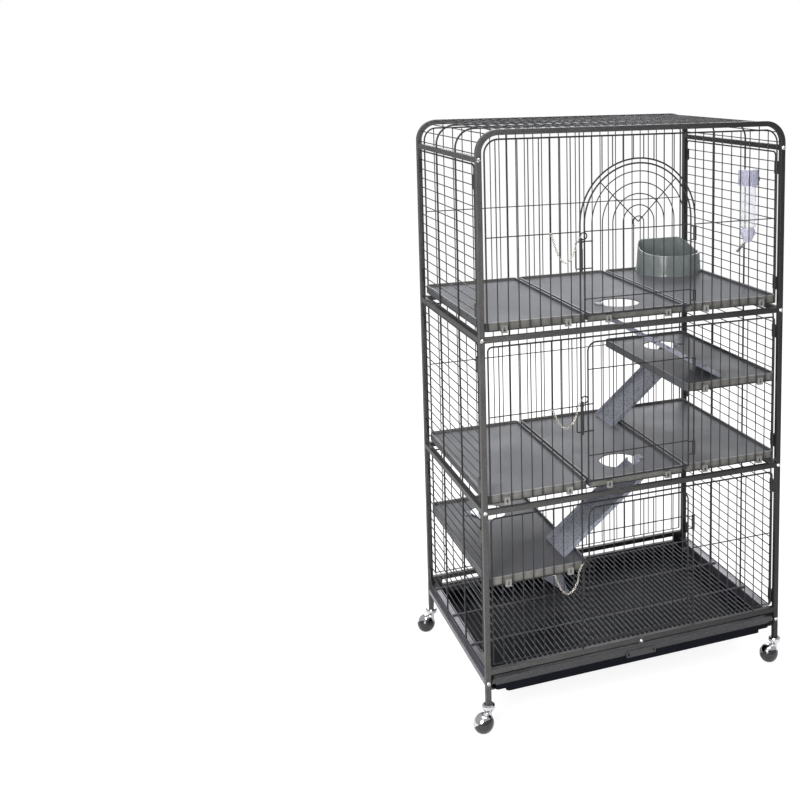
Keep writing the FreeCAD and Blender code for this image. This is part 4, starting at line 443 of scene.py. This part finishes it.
def chain_tail(name, body, path):
    """Oval links in turn flat and upright along a path."""
    g = Grower(name, Pitch=0.00535, Bend=0.0019, Straight=0.0032, Wire=0.0014, Metal=chain_steel.material)
    inlet = g.inlet
    ring = g.add("GeometryNodeCurvePrimitiveCircle", Resolution=14, Radius=inlet["Bend"])["Curve"]
    place = g.add("GeometryNodeInputPosition")["Position"]
    across = g.add("ShaderNodeSeparateXYZ", Vector=place)["X"]
    push = g.math("MULTIPLY", g.math("SIGN", across, 0.0), g.math("MULTIPLY", inlet["Straight"], 0.5))
    shift = g.add("ShaderNodeCombineXYZ", X=push)["Vector"]
    oval = g.add("GeometryNodeSetPosition", Geometry=ring, Offset=shift)["Geometry"]
    half_wire = g.math("MULTIPLY", inlet["Wire"], 0.5)
    section = g.add("GeometryNodeCurvePrimitiveCircle", Resolution=6, Radius=half_wire)["Curve"]
    link = g.add("GeometryNodeCurveToMesh", Curve=oval, Profile_Curve=section)["Mesh"]
    line = g.add("GeometryNodeMeshToCurve", Mesh=inlet["Geometry"])["Curve"]
    spots = g.add("GeometryNodeCurveToPoints", {"mode": "LENGTH"}, Curve=line, Length=inlet["Pitch"])
    along = g.add("FunctionNodeAlignRotationToVector", {"axis": "X"}, Vector=spots["Tangent"])["Rotation"]
    odd = g.math("MODULO", g.add("GeometryNodeInputIndex")["Index"], 2.0)
    quarter = g.math("MULTIPLY", odd, math.pi / 2)
    roll = g.add("FunctionNodeAxisAngleToRotation", Axis=(1.0, 0.0, 0.0), Angle=quarter)["Rotation"]
    turned = g.add(
        "FunctionNodeRotateRotation", {"rotation_space": "LOCAL"}, Rotation=along, Rotate_By=roll)["Rotation"]
    hung = g.add(
        "GeometryNodeInstanceOnPoints", Points=spots["Points"], Instance=link, Rotation=turned)["Instances"]
    g.end(hung, inlet["Metal"])
    g.bake(body, path, [(step, step + 1) for step in range(len(path) - 1)])


# A face counts as tread if it looks up and is larger than this, in square metres
TREAD_UPWARD = 0.4
TREAD_AREA = 0.003
NUB_SMALLEST = (0.5, 0.5, 0.25)
NUB_LARGEST = (1.2, 1.1, 0.5)


def ramp_nubs(name, tread, seed):
    """Low rounded nubs strewn over the tread of a ramp."""
    g = Grower(
        name, Tread=tread, Spacing=0.0042, Crowd=26000.0, Radius=0.0017, Seed=seed,
        Plastic=nub_plastic.material)
    inlet = g.inlet
    ramp = g.add("GeometryNodeObjectInfo", {"transform_space": "RELATIVE"}, Object=inlet["Tread"])["Geometry"]
    upward = g.add("ShaderNodeSeparateXYZ", Vector=g.add("GeometryNodeInputNormal")["Normal"])["Z"]
    wide = g.math("GREATER_THAN", g.add("GeometryNodeInputMeshFaceArea")["Area"], TREAD_AREA)
    chosen = g.math("MULTIPLY", g.math("GREATER_THAN", upward, TREAD_UPWARD), wide)
    strewn = g.tree.nodes.new("GeometryNodeDistributePointsOnFaces")
    strewn.distribute_method = "POISSON"
    feeds = {
        "Mesh": ramp, "Selection": chosen, "Distance Min": inlet["Spacing"],
        "Density Max": inlet["Crowd"], "Seed": inlet["Seed"],
    }
    for key, value in feeds.items():
        g.feed(strewn.inputs[key], value)
    nub = g.add("GeometryNodeMeshIcoSphere", Radius=inlet["Radius"], Subdivisions=1)["Mesh"]
    size = g.tree.nodes.new("FunctionNodeRandomValue")
    size.data_type = "FLOAT_VECTOR"
    size.inputs[0].default_value = NUB_SMALLEST
    size.inputs[1].default_value = NUB_LARGEST
    g.feed(size.inputs["Seed"], inlet["Seed"])
    set_on = g.add("GeometryNodeInstanceOnPoints", Points=strewn.outputs["Points"], Instance=nub,
                   Rotation=strewn.outputs["Rotation"], Scale=size.outputs[0])
    g.end(set_on["Instances"], inlet["Plastic"])
    g.bake("cage")


# The bottle's upright axis in X and Y
BOTTLE_AXIS = (0.358, -0.148)


def grip_ribs(name, radius, low, high, count):
    """Upright grip ribs round a cap or nut of the water bottle, from one height to another."""
    g = Grower(
        name, Radius=radius, Height=high - low, Count=count, Rib=0.0011, Plastic=cap_plastic.material)
    inlet = g.inlet
    circle = g.add("GeometryNodeMeshCircle", Vertices=inlet["Count"], Radius=inlet["Radius"])["Mesh"]
    middle = (*BOTTLE_AXIS, (low + high) / 2)
    spots = g.add("GeometryNodeTransform", Geometry=circle, Translation=middle)["Geometry"]
    rib = g.add("GeometryNodeMeshCylinder", Vertices=8, Radius=inlet["Rib"], Depth=inlet["Height"])["Mesh"]
    ribs = g.add("GeometryNodeInstanceOnPoints", Points=spots, Instance=rib)["Instances"]
    g.end(ribs, inlet["Plastic"])
    g.bake("water_bottle")


# Per tier: height of the chain's last hanging link, and of the latch ring that its tail runs up to
CHAIN_ENDS = (("upper", 1.1207, 1.153), ("middle", 0.7312, 0.768), ("lower", 0.3253, 0.368))
# X and Y of the tail's four points, from that link to the ring
TAIL_SPOTS = ((-0.1638, -0.2609), (-0.1615, -0.2622), (-0.1560, -0.2628), (-0.1512, -0.2622))
TAIL_BEND = 0.55
BELOW_RING = 0.006
FIRST_SEED = 11

for tier, low, ring in CHAIN_ENDS:
    heights = (low, low + (ring - low) * TAIL_BEND, ring - BELOW_RING, ring)
    tail = [(*spot, height) for spot, height in zip(TAIL_SPOTS, heights)]
    chain_tail(f"chain_tail_{tier}", f"latch_{tier}", tail)
for seed, ramp in enumerate(("ramp_upper", "ramp_second", "ramp_third", "ramp_lowest"), start=FIRST_SEED):
    ramp_nubs(f"{ramp}_nubs", nodes[ramp], seed)
grip_ribs("cap_ribs", 0.0245, 1.2365, 1.2725, 30)
grip_ribs("nut_ribs", 0.0175, 1.1085, 1.1225, 20)


# Room: floor, light and camera

ROOM_LIGHT = 0.42
FLOOR_HALF = 60.0
FLOOR_GLOW = 1.4
# How much of the floor's own tone gives way to the white glow where the camera sees it
GLOW_SHARE = 0.62
WHITE = (1.0, 1.0, 1.0, 1.0)


def seen_directly(tree):
    """1 for rays that come from the camera or through clear plastic, 0 for the rest."""
    path = tree.nodes.new("ShaderNodeLightPath")
    seen = tree.nodes.new("ShaderNodeMath")
    seen.operation = "MAXIMUM"
    tree.links.new(path.outputs["Is Camera Ray"], seen.inputs[0])
    tree.links.new(path.outputs["Is Transmission Ray"], seen.inputs[1])
    return seen.outputs[0]


def mix_into(tree, out, share, first, second):
    """Mixes two shaders by a share and leads them to the output."""
    mix = tree.nodes.new("ShaderNodeMixShader")
    for place, socket in enumerate((share, first, second)):
        tree.links.new(socket, mix.inputs[place])
    tree.links.new(mix.outputs[0], out.inputs[0])


def add_floor():
    mesh = bpy.data.meshes.new("floor")
    corners = [(-1, -1), (1, -1), (1, 1), (-1, 1)]
    mesh.from_pydata([(x * FLOOR_HALF, y * FLOOR_HALF, 0) for x, y in corners], [], [(0, 1, 2, 3)])
    floor = bpy.data.objects.new("floor", mesh)
    bpy.context.scene.collection.objects.link(floor)
    material = bpy.data.materials.new("floor_paper")
    material.use_nodes = True
    tree = material.node_tree
    tree.nodes.clear()
    out = tree.nodes.new("ShaderNodeOutputMaterial")
    paper = tree.nodes.new("ShaderNodeBsdfDiffuse")
    paper.inputs["Color"].default_value = (0.93, 0.93, 0.93, 1.0)
    glow = tree.nodes.new("ShaderNodeEmission")
    glow.inputs["Color"].default_value = WHITE
    glow.inputs["Strength"].default_value = FLOOR_GLOW
    share = tree.nodes.new("ShaderNodeMath")
    share.operation = "MULTIPLY"
    share.inputs[1].default_value = GLOW_SHARE
    tree.links.new(seen_directly(tree), share.inputs[0])
    mix_into(tree, out, share.outputs[0], paper.outputs[0], glow.outputs[0])
    mesh.materials.append(material)


def add_world():
    world = bpy.data.worlds.new("studio")
    bpy.context.scene.world = world
    world.use_nodes = True
    tree = world.node_tree
    tree.nodes.clear()
    out = tree.nodes.new("ShaderNodeOutputWorld")
    room = tree.nodes.new("ShaderNodeBackground")
    room.inputs["Color"].default_value = (0.97, 0.98, 1.0, 1.0)
    room.inputs["Strength"].default_value = ROOM_LIGHT
    paper = tree.nodes.new("ShaderNodeBackground")
    paper.inputs["Color"].default_value = WHITE
    mix_into(tree, out, seen_directly(tree), room.outputs[0], paper.outputs[0])


def add_lamp(name, place, aim, wide, tall, power, tone=(1.0, 1.0, 1.0)):
    data = bpy.data.lights.new(name, "AREA")
    data.shape = "RECTANGLE"
    data.size = wide
    data.size_y = tall
    data.energy = power
    data.color = tone
    lamp = bpy.data.objects.new(name, data)
    lamp.location = place
    lamp.rotation_euler = (Vector(aim) - Vector(place)).to_track_quat("-Z", "Y").to_euler()
    bpy.context.scene.collection.objects.link(lamp)


# The camera that the photograph's perspective was solved to: place in metres, turn in degrees
CAMERA_PLACE = (-1.1193, -2.5993, 1.5414)
CAMERA_YAW, CAMERA_PITCH, CAMERA_ROLL = 22.66, -7.597, -0.431
CAMERA_LENS = 50.564
CAMERA_SENSOR = 36.0
CAMERA_SHIFT = (-0.229, -0.2322)
CAMERA_CLIP = 200.0


def add_camera():
    yaw, pitch, roll = (math.radians(a) for a in (CAMERA_YAW, CAMERA_PITCH, CAMERA_ROLL))
    ahead = Vector((math.sin(yaw) * math.cos(pitch), math.cos(yaw) * math.cos(pitch), math.sin(pitch)))
    right = Vector((math.cos(yaw), -math.sin(yaw), 0))
    up = right.cross(ahead)
    level = right * math.cos(roll) + up * math.sin(roll)
    lift = up * math.cos(roll) - right * math.sin(roll)
    data = bpy.data.cameras.new("camera")
    data.lens = CAMERA_LENS
    data.sensor_width = CAMERA_SENSOR
    data.shift_x, data.shift_y = CAMERA_SHIFT
    data.clip_end = CAMERA_CLIP
    camera = bpy.data.objects.new("camera", data)
    turn = Matrix((level, lift, -ahead)).transposed().to_4x4()
    camera.matrix_world = Matrix.Translation(CAMERA_PLACE) @ turn
    bpy.context.scene.collection.objects.link(camera)
    bpy.context.scene.camera = camera


add_floor()
add_world()
add_lamp("key_left", (-1.9, -2.0, 1.7), (-0.25, -0.1, 0.7), 1.2, 2.0, 75.0, (1.0, 0.985, 0.96))
add_lamp("top", (0.0, -0.3, 3.6), (0.0, 0.0, 0.7), 2.6, 2.2, 55.0)
add_lamp("back", (0.9, 2.8, 2.0), (0.0, 0.0, 0.8), 2.4, 2.0, 45.0, (0.96, 0.97, 1.0))
add_camera()

bpy.context.scene.view_settings.view_transform = "Standard"
